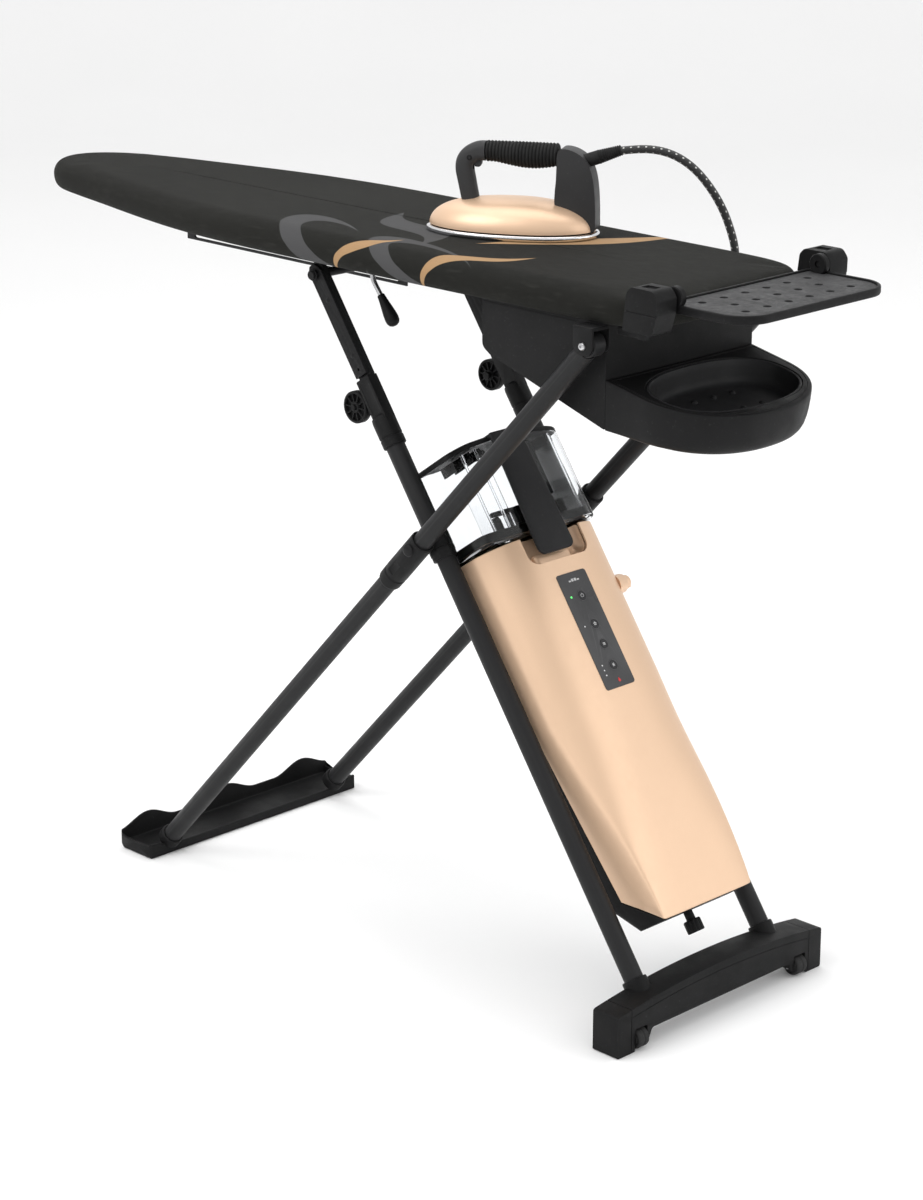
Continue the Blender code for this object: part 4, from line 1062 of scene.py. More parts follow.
# ---------------------------------------------------------------- generator
COVER_LOW_CORNER, COVER_HIGH_CORNER = span("generator_cover", INNER)
COVER_HALF = COVER_HIGH_CORNER.y
COVER_FOOT = COVER_LOW_CORNER.z
COVER_TOP_S = COVER_HIGH_CORNER.z
PANEL_LOW, PANEL_HIGH = span("control_panel", INNER)
CREASE_SLOPE = 0.0836               # how fast the side planes draw in towards the foot


def side_limit(s):
    """Half width left by the two slanting planes that narrow the generator towards its foot."""
    return min(COVER_HALF, 0.0845 + (s - 0.085) * CREASE_SLOPE)


def cover_rise(s):
    return 0.056 + 0.016 * min(1, max(0, (s - 0.08) / 0.3)) ** 0.6


ROUND_POWER = 3.1                   # superellipses rounder than this need no extra points at their corners


def superellipse(half, rise, power, count):
    """Upper half of a superellipse as (across, up) points from -half to +half, denser at its corners."""
    points = []
    for i in range(count):
        t = i / (count - 1)
        crowding = 0.055 * min(1, max(0, power - ROUND_POWER) / 2)
        angle = math.pi * (1 - t - crowding * math.sin(2 * TURN * t))
        c = math.cos(angle)
        points.append((math.copysign(abs(c) ** (2 / power), c) * half,
                       max(math.sin(angle), 0) ** (2 / power) * rise))
    return points


def soft_clip(value, limit):
    """Clamp to +-limit with a small rounding, so that the crease between the planes is soft."""
    blend = 0.004
    a = abs(value)
    if a < limit - blend:
        return value
    over = a - (limit - blend)
    return math.copysign(limit - blend + blend * (1 - math.exp(-over / blend)), value)


def cover_ring(t, inset, low_s, high_s):
    """Arched section at share t of the cover's length, squarer towards the foot."""
    ring = []
    power = ROUND_POWER + 5 * max(0.0, 1 - t / 0.5) ** 2
    for across, up in superellipse(COVER_HALF - inset, 1, power, 97):
        base = low_s + 0.75 * (1 - up) * 0.056
        s = base + t * (high_s - base)
        ring.append(Vector((up * (cover_rise(s) - inset), soft_clip(across, side_limit(s) - inset), s)))
    return ring


def build_cover_shell():
    """Champagne front cover: one arched skin with rounded end lips, grip scoop and panel opening."""
    low, high = COVER_FOOT, COVER_TOP_S
    stations = [i / 40 for i in range(41)]
    outer = [cover_ring(0, 0.0022, low + 0.0002, high), cover_ring(0, 0.0007, low + 0.0002, high)]
    outer += [cover_ring(t, 0, low + 0.0012, high - 0.0008) for t in stations]
    outer += [cover_ring(1, 0.0008, low, high)]
    inner = [cover_ring(t, 0.0026, low + 0.0006, high) for t in stations[::-4]]
    shell = loft("cover_shell", outer + inner, INNER, closed=True, angle=45)
    half = PANEL_HIGH.y + GAP
    block = box("block", (0.0445, -0.0585, 0.551), (0.064, 0.0585, high - 0.0004), INNER, edge=0.004)
    boolean(shell, [block], 'UNION')
    scoop = box("scoop", (0.0505, -0.0545, 0.5575), (0.11, 0.0545, 0.66), INNER)
    rounded(scoop, 0.016, 8)
    tongue = box("tongue", (0.04, -0.034, 0.55), (0.0585, 0.034, 0.5745), INNER, edge=0.0075, segments=6)
    opening = box("opening", (0.03, -half, PANEL_LOW.z - GAP), (0.1, half, PANEL_HIGH.z + GAP), INNER)
    upright = [e for e in opening.data.edges if abs((opening.data.vertices[e.vertices[0]].co
               - opening.data.vertices[e.vertices[1]].co).x) > 0.05]
    bm = bmesh.new()
    bm.from_mesh(opening.data)
    bm.edges.ensure_lookup_table()
    picked = [bm.edges[e.index] for e in upright]
    bmesh.ops.bevel(bm, geom=picked, offset=0.004, segments=6, affect='EDGES', profile=0.5)
    bm.to_mesh(opening.data)
    bm.free()
    boolean(shell, [scoop, opening])
    boolean(shell, [tongue], 'UNION')
    knob_low, knob_high = span("side_knob", INNER)
    seat = Vector(((knob_low.x + knob_high.x) / 2, 0.0, (knob_low.z + knob_high.z) / 2))
    boss = lathe("boss", [(0, 0.106), (0.0112, 0.106), (0.0124, 0.1053), (0.013, 0.104), (0.0136, 0.09),
                          (0, 0.09)], facing(seat, (0, 1, 0), INNER), 48)
    boolean(shell, [boss], 'UNION')
    smooth(shell, 32)
    dress(shell, CHAMPAGNE, "inner_stand", "champagne_shell", "generator_cover")
    return seat


def build_knob(seat):
    """Round tap knob with a raised wing, on the cover's boss."""
    knob_low, knob_high = span("side_knob", INNER)
    base = knob_low.y
    profile = [(0, 0.0088), (0.007, 0.0088), (0.0088, 0.008), (0.0096, 0.0064), (0.0098, 0.001),
               (0.0092, 0.0), (0, 0)]
    knob = lathe("tap_knob", profile, facing(seat + Vector((0, base, 0)), (0, 1, 0), INNER), 56)
    wing = box("wing", (seat.x - 0.0024, base + 0.004, seat.z - 0.0088),
               (seat.x + 0.0024, knob_high.y, seat.z + 0.0088), INNER, edge=0.0011, segments=4)
    boolean(knob, [wing], 'UNION')
    dress(smooth(knob, 35), CHAMPAGNE, "side_knob", "champagne_shell", "side_knob")


def rear_ring(low, high, half, s):
    """Section of the rear shell: flat towards the cover, rounded corners at the back."""
    radius, steps = 0.014, 8
    ring = [Vector((high, -half, s)), Vector(((high + low) / 2, -half, s))]
    for i in range(steps + 1):
        angle = math.pi / 2 * i / steps
        ring.append(Vector((low + radius - radius * math.sin(angle),
                            -half + radius - radius * math.cos(angle), s)))
    return ring + [Vector((p.x, -p.y, p.z)) for p in reversed(ring)]


def build_rear_shell():
    """Black rear shell with a chamfered foot, air slots over the pump and four screws."""
    low_corner, high_corner = span("generator_back", INNER)
    top = high_corner.z
    stations = [(0.0795, -0.002, 0.055), (0.121, -0.035, -0.0004), (0.136, low_corner.x, -0.0004),
                (0.56, -0.042, -0.0004), (top - 0.0015, -0.0362, -0.0004), (top, -0.0345, -0.0004)]
    shell = loft("rear_shell", [rear_ring(low, high, side_limit(s) - 0.0006, s) for s, low,
                                high in stations], INNER, angle=30)
    slots = [box("slot", (-0.08, -0.03, 0.375 + 0.013 * i), (-0.0385, 0.03, 0.38 + 0.013 * i), INNER,
                 edge=0.0022)
             for i in range(8)]
    boolean(shell, [merged("slots", slots, INNER)])
    rounded(shell, 0.0016, 3, angle=28, sharp=35)
    dress(shell, BLACK, "inner_stand", "black_plastic", "generator_back")
    for i, (y, s) in enumerate(((-0.07, 0.19), (0.07, 0.19), (-0.085, 0.52), (0.085, 0.52))):
        t = (s - 0.136) / (0.56 - 0.136)
        back = low_corner.x + 0.006 * t
        head = screw_head("shell_screw_%d" % i, (back, y, s), (-1, 0, 0), 0.0042, 0.0014, INNER)
        dress(head, STEEL, "inner_stand", "steel_parts")


def build_panel():
    """Satin panel with round keys in dished seats, plain symbols and small lamps."""
    low, high = PANEL_LOW, PANEL_HIGH
    face = high.x
    outline = []
    radius = 0.0038
    for cx, cy, start in ((high.y - radius, high.z - radius, 0), (low.y + radius, high.z - radius, 1),
                          (low.y + radius, low.z + radius, 2), (high.y - radius, low.z + radius, 3)):
        outline += [(cx + radius * math.cos(math.pi / 2 * (start + k / 6)),
                     cy + radius * math.sin(math.pi / 2 * (start + k / 6))) for k in range(7)]
    keys = {name: span(name, INNER) for name in ("button_power", "button_fan", "button_mode",
                                                 "button_steam")}
    centres = {name: ((a.y + b.y) / 2, (a.z + b.z) / 2) for name, (a, b) in keys.items()}
    upright = INNER @ CROSSWISE
    holes = [circle(y, s, 0.0063, 48) for y, s in centres.values()]
    panel = plate("panel_face", outline, low.x, face - 0.0002, upright, holes)
    rounded(panel, 0.0007, 3, angle=50)
    dress(panel, SATIN_GREY, "inner_stand", "grey_plastic", "control_panel")
    for name, (y, s) in centres.items():
        top = keys[name][1].x
        dish = [(0, -0.0066), (0.0059, -0.0066), (0.006, -0.0006), (0.0056, -0.0001), (0.005, 0.0),
                (0.0036, -0.0004), (0.0018, -0.0006), (0, -0.0007)]
        seat = moved(INNER, top, y, s) @ Matrix.Rotation(math.pi / 2, 4, 'Y')
        key = lathe(name + "_key", dish, seat, 56)
        dress(key, KEY_GREY, name, "grey_plastic", name)
        dress(symbol(name, top, y, s, upright), MARK, name, "grey_plastic")
        ring = lathe(name + "_ring", [(0.0064, 0.0001), (0.007, 0.0004), (0.0076, 0.0001), (0.007, -0.0006),
                                      (0.0064, 0.0001)],
                     moved(INNER, face, y, s) @ Matrix.Rotation(math.pi / 2, 4, 'Y'), 56)
        dress(ring, SATIN_GREY, "inner_stand", "grey_plastic")
    power, fan, steam = (centres[n][1] for n in ("button_power", "button_fan", "button_steam"))
    lamps = [("lamp_ready", -0.0168, power + 0.0014, 0.0014, GREEN_LAMP),
             ("lamp_fan", -0.0163, fan, 0.001, WHITE_LAMP)]
    lamps += [("lamp_level_%d" % i, -0.0167, steam + 0.0033 - 0.0069 * i, 0.001,
               WHITE_LAMP) for i in range(3)]
    for name, y, s, radius, material in lamps:
        lens = lathe(name, [(0, 0.0004), (radius * 0.7, 0.0003), (radius, 0), (radius * 0.9, -0.001),
                            (0, -0.001)],
                     moved(INNER, face, y, s) @ Matrix.Rotation(math.pi / 2, 4, 'Y'), 24)
        dress(lens, material, "inner_stand", "grey_plastic")
    drop = [(0.0011 + 0.0021 * math.cos(a) * (1 - 0.45 * max(0, math.sin(a))),
             PANEL_LOW.z + 0.0082 + 0.0021 * math.sin(a) + 0.0016 * max(0, math.sin(a)) ** 3)
            for a in (TURN * k / 32 for k in range(32))]
    mark = plate("lamp_water", drop, face - 0.0006, face + 0.0002, upright)
    dress(smooth(mark), RED_LAMP, "inner_stand", "grey_plastic")
    bars = [plate("bar", [(y - 0.0018, PANEL_HIGH.z - 0.0125), (y + 0.0018, PANEL_HIGH.z - 0.0125),
                          (y + 0.0018, PANEL_HIGH.z - 0.012 + 0.0016 * h),
                          (y - 0.0018, PANEL_HIGH.z - 0.012 + 0.0016 * h)], face - 0.0004, face + 0.0001,
                  upright)
            for y, h in ((-0.0075, 1), (-0.0025, 2), (0.0025, 2), (0.0075, 1))]
    dress(merged("panel_dashes", bars, upright), MARK, "inner_stand", "grey_plastic")


def symbol(name, top, y, s, upright):
    """A plain sign on a key: ring with a stroke, fan blades, two bars or a star."""
    low, high = top - 0.0009, top - 0.00035
    shapes = []
    if name == "button_power":
        arc = [(y + r * math.sin(a), s + r * math.cos(a)) for r, turn in ((0.0026, 1), (0.0021, -1))
               for a in (turn * (0.6 + (TURN - 1.2) * k / 24) for k in range(25))]
        half = len(arc) // 2
        arc = arc[:half] + [(2 * y - p, q) for p, q in arc[half:]][::-1]
        shapes.append(arc)
        shapes.append([(y - 0.00028, s + 0.001), (y + 0.00028, s + 0.001), (y + 0.00028, s + 0.0031),
                       (y - 0.00028, s + 0.0031)])
    elif name == "button_fan":
        for k in range(5):
            a = TURN * k / 5
            shapes.append([(y + 0.0017 * math.sin(a) + 0.00085 * math.cos(b), s + 0.0017 * math.cos(a)
                            + 0.00085 * math.sin(b)) for b in (TURN * m / 12 for m in range(12))])
    elif name == "button_mode":
        shapes = [[(y - 0.0022, s + dz - 0.0003), (y + 0.0022, s + dz - 0.0003),
                   (y + 0.0022, s + dz + 0.0003),
                   (y - 0.0022, s + dz + 0.0003)] for dz in (-0.0013, 0, 0.0013)]
    else:
        for k in range(3):
            a = math.pi * k / 3
            c, d = math.cos(a), math.sin(a)
            shapes.append([(y + c * u - d * v, s + d * u + c * v) for u, v in
                           ((-0.0026, -0.0003), (0.0026, -0.0003), (0.0026, 0.0003), (-0.0026, 0.0003))])
    return merged(name + "_sign", [plate("sign", shape, low, high, upright) for shape in shapes], upright)


def build_plug():
    """Fluted cap with a threaded stem, under the generator's foot."""
    low, high = span("drain_plug", INNER)
    middle = (low + high) / 2
    profile = [(0, 0.0), (0.0105, 0.0), (0.0116, 0.0012), (0.0116, 0.015), (0.0104, 0.0168),
               (0.0062, 0.0172), (0.006, 0.03)]
    for k in range(5):
        z = 0.03 + 0.001 * k
        profile += [(0.006, z), (0.0054, z + 0.0005)]
    profile.append((0, high.z - low.z))
    plug = lathe("drain_cap", profile, moved(INNER, middle.x, 0, low.z), 60)
    flutes = [cylinder("flute", 0.0017, -0.002, 0.02,
                       moved(INNER, middle.x + 0.0123 * math.cos(a), 0.0123 * math.sin(a), low.z), 12)
              for a in (TURN * k / 12 for k in range(12))]
    boolean(plug, [merged("flutes", flutes)])
    dress(smooth(plug, 35), BLACK, "drain_plug", "black_plastic", "drain_plug")


# ---------------------------------------------------------------- water tank
TANK_LOW, TANK_HIGH = span("water_tank", INNER)
TANK_MIDDLE = (TANK_LOW.x + TANK_HIGH.x) / 2
LID_DROP = 0.009                    # the lid's crown lies this much under the top of its packed box


def tank_ring(s_of, inset):
    """Outline of the tank drawn in by an inset; s_of(y) gives its place along the leg."""
    half_h = (TANK_HIGH.x - TANK_LOW.x) / 2 - inset
    half_y = TANK_HIGH.y - inset
    front = [(TANK_MIDDLE + up * half_h, across) for across, up in superellipse(half_y, 1, 9, 65)]
    back = [(TANK_MIDDLE - (h - TANK_MIDDLE), y) for h, y in reversed(front[1:-1])]
    return [Vector((h, y, s_of(y))) for h, y in front + back]


def level(s):
    """A flat ring height for tank_ring."""
    return lambda y: s


def tank_top(y):
    return TANK_HIGH.z - LID_DROP - 0.011 * (y / 0.104) ** 2


def build_tank():
    """Clear shell with a stepped rim, inner partition, filter holder and dark valve base."""
    low = TANK_LOW.z
    levels = [(0.0, 0.004), (0.0015, 0.0012), (0.004, 0.0), (0.05, 0.0), (0.1, 0.0)]
    outer = [tank_ring(level(low + z), inset) for z, inset in levels]
    outer += [tank_ring(lambda y: tank_top(y) - 0.004, 0),
              tank_ring(lambda y: tank_top(y) - 0.0002, 0.0004)]
    inner = [tank_ring(lambda y: tank_top(y) - 0.0002, 0.002), tank_ring(level(low + 0.006), 0.0022),
             tank_ring(level(low + 0.003), 0.006)]
    bm = bmesh.new()
    rows = [[bm.verts.new(p) for p in ring] for ring in outer + inner]
    for a, b in zip(rows, rows[1:]):
        bridge(bm, a, b)
    bm.faces.new(rows[0])
    bm.faces.new(rows[-1])
    shell = smooth(place("tank_shell", bm, INNER), 35)
    dress(shell, CLEAR, "water_tank", "clear_tank", "water_tank")

    fittings = []
    for y in (-0.078, -0.052, 0.03, 0.082):
        fittings.append(box("rail", (TANK_HIGH.x - 0.0062, y - 0.0012, low + 0.004),
                            (TANK_HIGH.x - 0.0024, y + 0.0012, tank_top(y) - 0.003), INNER, edge=0.0005))
    fittings.append(box("partition", (TANK_MIDDLE - 0.03, -0.0318, low + 0.004),
                        (TANK_MIDDLE + 0.034, -0.03, low + 0.1), INNER, edge=0.0006))
    dress(merged("tank_partitions", fittings, INNER), CLEAR, "water_tank", "clear_tank")

    dark = []
    base = loft("base", [tank_ring(level(low + 0.004), 0.006), tank_ring(level(low + 0.005), 0.003),
                         tank_ring(level(low + 0.0175), 0.003), tank_ring(level(low + 0.0182), 0.004),
                         tank_ring(level(low + 0.0182), 0.007),
                         tank_ring(level(low + 0.012), 0.008)], INNER)
    dark.append(base)
    for y, h, bottom, top_gap in ((0.034, 0.052, 0.088, 0.008), (0.046, 0.05, 0.1, 0.008),
                                  (0.06, 0.05, 0.012, 0.092),
                                  (0.044, 0.052, 0.014, 0.088), (-0.03, 0.046, 0.104, 0.006)):
        dark.append(box("slab", (h - 0.01, y - 0.0055, low + bottom),
                        (h, y + 0.0055, tank_top(y) - top_gap), INNER, edge=0.0015))
    for y in (-0.06, -0.04, 0.078):
        dark.append(box("lug", (TANK_MIDDLE - 0.02, y - 0.0012, tank_top(y) - 0.016),
                        (TANK_MIDDLE + 0.04, y + 0.0012, tank_top(y) - 0.003), INNER, edge=0.0005))
    dark.append(box("valve_block", (TANK_MIDDLE + 0.004, -0.018, low + 0.01),
                    (TANK_MIDDLE + 0.034, 0.01, low + 0.046), INNER, edge=0.003))
    dark.append(lathe("valve", [(0, 0.03), (0.006, 0.03), (0.0075, 0.026), (0.0075, 0.01), (0.011, 0.007),
                                (0.011, 0.0), (0, 0.0)],
                      moved(INNER, TANK_MIDDLE + 0.012, -0.04, low + 0.012), 40))
    dark.append(box("float_arm", (TANK_MIDDLE + 0.012, -0.046, low + 0.043),
                    (TANK_MIDDLE + 0.018, 0.06, low + 0.049), INNER, edge=0.0015))
    dark.append(box("guide", (TANK_MIDDLE + 0.02, 0.04, low + 0.048),
                    (TANK_MIDDLE + 0.036, 0.056, tank_top(0.05) - 0.006), INNER, edge=0.002))
    dress(merged("tank_fittings", dark, INNER), DEEP, "water_tank", "black_plastic")

    filter_low, filter_high = span("filter_cartridge", INNER)
    centre = (filter_low + filter_high) / 2
    half = (filter_high.z - filter_low.z) / 2
    profile = [(0, half), (0.0065, half), (0.0075, half - 0.001), (0.0075, half - 0.005)]
    profile += [(0.01, half - 0.008), (0.012, half - 0.011)]
    for k in range(15):
        z = half - 0.013 - k * 0.004
        profile += [(0.0121, z), (0.0112, z - 0.0016), (0.0121, z - 0.003)]
    profile += [(0.0118, -half + 0.001), (0.01, -half), (0, -half)]
    cartridge = lathe("filter_body", profile, moved(INNER, *centre), 56)
    dress(cartridge, DEEP, "water_tank", "white_plastic", "filter_cartridge")


def build_tank_handle():
    """Arched lid with a raised edge, and the wide strap that comes down over the front."""
    strap_top = span("tank_handle", INNER)[1].z - LID_DROP

    def top(offset):
        return lambda y: tank_top(y) + offset

    rings = [tank_ring(top(GAP), 0.0012), tank_ring(top(GAP), 0), tank_ring(top(0.005), 0),
             tank_ring(top(0.0068), 0.001), tank_ring(top(0.0076), 0.003), tank_ring(top(0.007), 0.0052),
             tank_ring(top(0.0052), 0.0066), tank_ring(top(0.005), 0.03), tank_ring(top(0.0056), 0.042)]
    bm = bmesh.new()
    rows = [[bm.verts.new(p) for p in ring] for ring in rings]
    for a, b in zip(rows, rows[1:]):
        bridge(bm, a, b)
    for row in (rows[0], rows[-1]):
        count = len(row)
        middle = count // 2
        bm.faces.new((row[0], row[1], row[-1]))
        for i in range(1, middle - 1):
            bm.faces.new((row[i], row[i + 1], row[count - i - 1], row[count - i]))
        bm.faces.new((row[middle - 1], row[middle], row[middle + 1]))
    lid = smooth(place("tank_lid", bm, INNER), 35)
    dress(lid, BLACK, "water_tank", "black_plastic", "tank_handle")

    foot = 0.569
    stations = []
    for k in range(49):
        t = (k / 48) ** 2.4
        s = foot + (strap_top - 0.0004 - foot) * t
        half = 0.0262 + 0.006 * (1 - t)
        corner = min(1.0, (s - foot) / 0.011)
        half -= 0.0105 * (1 - math.sqrt(max(0.0, 1 - (1 - corner) ** 2)))
        stations.append((s, half))
    rings = []
    bulge, front, back = 0.0007, 0.0712, 0.0662
    for s, half in stations:
        ring = []
        for a in (TURN * k / 40 for k in range(40)):
            c, d = math.cos(a), math.sin(a)
            y = math.copysign(abs(c) ** 0.22, c) * half
            h = (front + back) / 2 + math.copysign(abs(d) ** 0.35, d) * (front - back) / 2
            ring.append(Vector((h + bulge * (1 - (y / half) ** 2) * (1 if d > 0 else 0), y, s)))
        rings.append(ring)
    strap = loft("strap_blade", rings, INNER, angle=35)
    dress(strap, CHARCOAL, "water_tank", "black_plastic")
    root = box("strap_root", (0.046, -0.0255, TANK_HIGH.z - LID_DROP + 0.0012),
               (0.0705, 0.0255, strap_top - 0.0002), INNER)
    rounded(root, 0.0018, 4)
    dress(root, CHARCOAL, "water_tank", "black_plastic")


def dress_inside():
    """Carried-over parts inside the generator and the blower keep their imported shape."""
    for node, material in (("boiler", STEEL), ("water_pump", BLACK), ("circuit_board", BOARD_GREEN),
                           ("fan_motor", STEEL), ("impeller", WHITE)):
        obj = NODES[node]
        obj.data.materials.clear()
        obj.data.materials.append(material)
        bevel = obj.modifiers.new("rounding", 'BEVEL')
        bevel.width = 0.0004
        bevel.segments = 2
        bevel.limit_method = 'ANGLE'


# ---------------------------------------------------------------- inner stand
LEG_Y = 0.122                       # inner legs, left and right of the middle


def filleted(points, radii, steps=5):
    """Outline with each corner rounded; radii is one number or one for each corner."""
    count = len(points)
    radii = [radii] * count if isinstance(radii, (int, float)) else radii
    path = []
    for i, radius in enumerate(radii):
        before, corner, after = (Vector(points[(i + k) % count]).to_2d() for k in (-1, 0, 1))
        to_before, to_after = (before - corner), (after - corner)
        half = to_before.angle(to_after) / 2
        if radius <= 0 or half > math.radians(88):
            path.append(tuple(corner))
            continue
        reach = min(radius / math.tan(half), to_before.length * 0.48, to_after.length * 0.48)
        start, end = corner + to_before.normalized() * reach, corner + to_after.normalized() * reach
        for k in range(steps + 1):
            t = k / steps
            path.append(tuple(start * (1 - t) ** 2 + corner * 2 * t * (1 - t) + end * t * t))
    return path


def tube(name, outer, inner, low, high, matrix, steps=64):
    """Open pipe with rounded lips."""
    lip = (outer - inner) * 0.35
    profile = [(inner, low + lip), (inner, high - lip), (inner + lip, high), (outer - lip, high),
               (outer, high - lip),
               (outer, low + lip), (outer - lip, low), (inner + lip, low), (inner, low + lip)]
    return lathe(name, profile, matrix, steps)


def build_foot_bar():
    """Arched bar with end blocks on the floor, a pocket at each end for a roller and sockets for the legs."""
    half = span("foot_bar")[1].y
    crown, drop = 0.0705, 0.015
    arch = [(half * (1 - i / 24), crown - drop * (1 - i / 24) ** 2) for i in range(49)]
    under = [(-0.1655, 0), (-0.1655, 0.03), (-0.143, 0.03), (-0.143, 0.011), (-0.139, 0.011),
             (-0.134, 0.023)]
    outline = [(half, 0)] + arch + [(-half, 0)] + under + [(-y, z) for y, z in reversed(under)]
    radii = [0.003, 0.009] + [0] * 47 + [0.009, 0.003] + [0.002, 0.003, 0.003, 0.001, 0.002, 0.006] * 2
    bar = plate("floor_bar", filleted(outline, radii), 0.425, 0.467, BENCH @ CROSSWISE)
    rounded(bar, 0.0045, 6, angle=50, sharp=45)
    bosses, bores, grooves = [], [], []
    for side, sign in SIDES:
        y = sign * LEG_Y
        profile = [(0, -0.01), (0.0155, -0.01), (0.0165, -0.008), (0.0165, 0.0265), (0.016, 0.028),
                   (0.0148, 0.0286), (0, 0.0286)]
        bosses.append(lathe("boss", profile, moved(INNER, 0, y, 0), 64))
        bores.append(cylinder("bore", 0.0132, -0.0005, 0.08, moved(INNER, 0, y, 0), 64))
        for face in (0.4245, 0.4675):
            grooves.append(box("groove", (face - 0.0011, sign * 0.1725 - 0.0005, -0.01),
                               (face + 0.0011, sign * 0.1725 + 0.0005, 0.09)))
        grooves.append(box("groove", (0.41, sign * 0.1725 - 0.0005, 0.0585),
                           (0.48, sign * 0.1725 + 0.0005, 0.09)))
    for face in (0.4245, 0.4675):
        ridge = [(y, z - 0.0105) for y, z in arch[3:-3]] + [(y, z - 0.0115) for y, z in arch[3:-3]][::-1]
        grooves.append(plate("ridge", ridge, face - 0.001, face + 0.001, BENCH @ CROSSWISE))
    boolean(bar, bosses, 'UNION')
    boolean(bar, bores + grooves)
    smooth(bar, 32)
    dress(bar, BLACK, "inner_stand", "black_plastic", "foot_bar")
    for side, sign in SIDES:
        axle = lathe("roller_pin_" + side, [(0, 0.0165), (0.0024, 0.0165), (0.003, 0.0158),
                                            (0.003, -0.0158), (0.0024, -0.0165), (0, -0.0165)],
                     facing((0.46, sign * 0.1545, 0.0145), (0, 1, 0)), 24)
        dress(axle, STEEL, "inner_stand", "steel_parts")
        roller_low, roller_high = span("roller_" + side)
        half_width = (roller_high.y - roller_low.y) / 2
        radius = (roller_high.z - roller_low.z) / 2
        profile = [(0.0033, half_width - 0.0012), (0.0056, half_width - 0.0006), (0.0062, half_width),
                   (0.0072, half_width), (0.0078, half_width - 0.0014), (0.0098, half_width - 0.0018),
                   (0.0105, half_width - 0.0004), (0.0117, half_width - 0.0004),
                   (radius - 0.0005, half_width - 0.0016),
                   (radius, half_width - 0.003), (radius, 0.0016), (radius - 0.0005, 0.001),
                   (radius - 0.0005, 0)]
        profile = mirrored(profile)
        wheel = lathe("floor_roller_" + side, profile, facing((roller_low + roller_high) / 2, (0, 1, 0)),
                      56)
        dress(wheel, TYRE, "roller_" + side, "rubber", "roller_" + side)


def build_inner_legs():
    """Long tubes, two-layered flat links with rivets, and the bar that slides in the height rail."""
    for side, sign in SIDES:
        y = sign * LEG_Y
        beside = moved(INNER, 0, y, 0)
        leg = tube("long_leg_" + side, 0.0129, 0.0114, 0, 0.8, beside, 72)
        dress(leg, TUBE, "inner_stand", "grey_tube", "inner_leg_" + side)

        bore = circle(0, 1.024, 0.0063, 36)
        main = filleted([(-0.01, 0.8725), (0.014, 0.8725), (0.014, 1.031), (0.007, 1.04), (-0.0045, 1.04),
                         (-0.01, 1.033)], [0.001, 0.001, 0.006, 0.004, 0.004, 0.006])
        over = filleted([(-0.0094, 0.876), (0.0134, 0.876), (0.0134, 1.024), (0.006, 1.037),
                         (-0.004, 1.037), (-0.0094, 1.03)], [0.001, 0.001, 0.006, 0.004, 0.004, 0.006])
        plates = []
        for name, shape, low, high in (("inside", main, LEG_Y - 0.0065, LEG_Y + 0.0012),
                                       ("outside", over, LEG_Y + 0.0014, LEG_Y + 0.0065)):
            a, b = sorted((-sign * low, -sign * high))
            bar = plate("link_%s_%s" % (name, side), shape, a, b, INNER @ SIDEWAYS, [bore, circle(0.002,
                        0.885, 0.002, 20)])
            plates.append(rounded(bar, 0.0009, 3, angle=50))
        dress(plates[0], LINK, "inner_stand", "grey_tube", "upper_link_" + side)
        dress(plates[1], LINK, "inner_stand", "grey_tube")
        for k, s in enumerate((0.905, 0.985)):
            head = lathe("link_rivet_%s_%d" % (side, k),
                         [(0, 0.0009), (0.0022, 0.0008), (0.0034, 0.0003), (0.0036, -0.0003), (0, -0.0003)],
                         facing((0.002, y + sign * 0.0064, s), (0, sign, 0), INNER), 32)
            dress(head, LINK, "inner_stand", "grey_tube")
    reach = 0.1365
    profile = [(0, reach), (0.0052, reach), (0.006, reach - 0.0008), (0.006, reach - 0.003),
               (0.0054, reach - 0.0034), (0.0054, reach - 0.0046), (0.006, reach - 0.005)]
    profile += [(0.006, 0.0)]
    profile += [(r, -z) for r, z in reversed(profile[:-1])]
    bar = lathe("slide_bar", profile, facing((0, 0, 1.024), (0, 1, 0), INNER), 40)
    dress(bar, LINK, "inner_stand", "steel_parts", "top_cross_bar")
    for side, sign in SIDES:
        ring = lathe("slide_ring_" + side, [(0.0056, 0.0006), (0.0076, 0.0006), (0.008, 0.0),
                                            (0.0076, -0.0006), (0.0056, -0.0006), (0.0056, 0.0006)],
                     facing((0, sign * (reach - 0.004), 1.024), (0, 1, 0), INNER), 40)
        dress(ring, LINK, "inner_stand", "steel_parts")


def build_cross_hubs():
    """Stepped clamp on each inner leg with a turned pin and domed head for the outer leg."""
    for side, sign in SIDES:
        y = sign * LEG_Y
        half = 0.024
        profile = [(0.0132, half - 0.001), (0.014, half), (0.0158, half), (0.0165, half - 0.001),
                   (0.0165, half - 0.007), (0.0172, half - 0.008), (0.0172, 0.01), (0.0166, 0.0094),
                   (0.0166, 0.0086), (0.0172, 0.008), (0.0172, 0.0)]
        profile = mirrored(profile)
        hub = lathe("crossing_hub_" + side, profile, moved(INNER, 0, y, INNER_CROSS), 64)
        split = box("split", (0.012, y - 0.0006, INNER_CROSS - 0.03),
                    (0.02, y + 0.0006, INNER_CROSS + 0.03), INNER)
        boolean(hub, [split])
        dress(smooth(hub, 35), BLACK, "inner_stand", "black_plastic", "cross_hub_" + side)
        pin = [(0, 0.0575), (0.0052, 0.0572), (0.0074, 0.0562), (0.0085, 0.0545), (0.0085, 0.0541),
               (0.0045, 0.0541), (0.0045, 0.015), (0, 0.015)]
        bolt = lathe("crossing_bolt_" + side, pin, facing((0, y, INNER_CROSS), (0, sign, 0), INNER), 40)
        dress(bolt, LINK, "inner_stand", "steel_parts")


WHEEL = (-0.0335, 0.847)            # height over the leg line and place along it


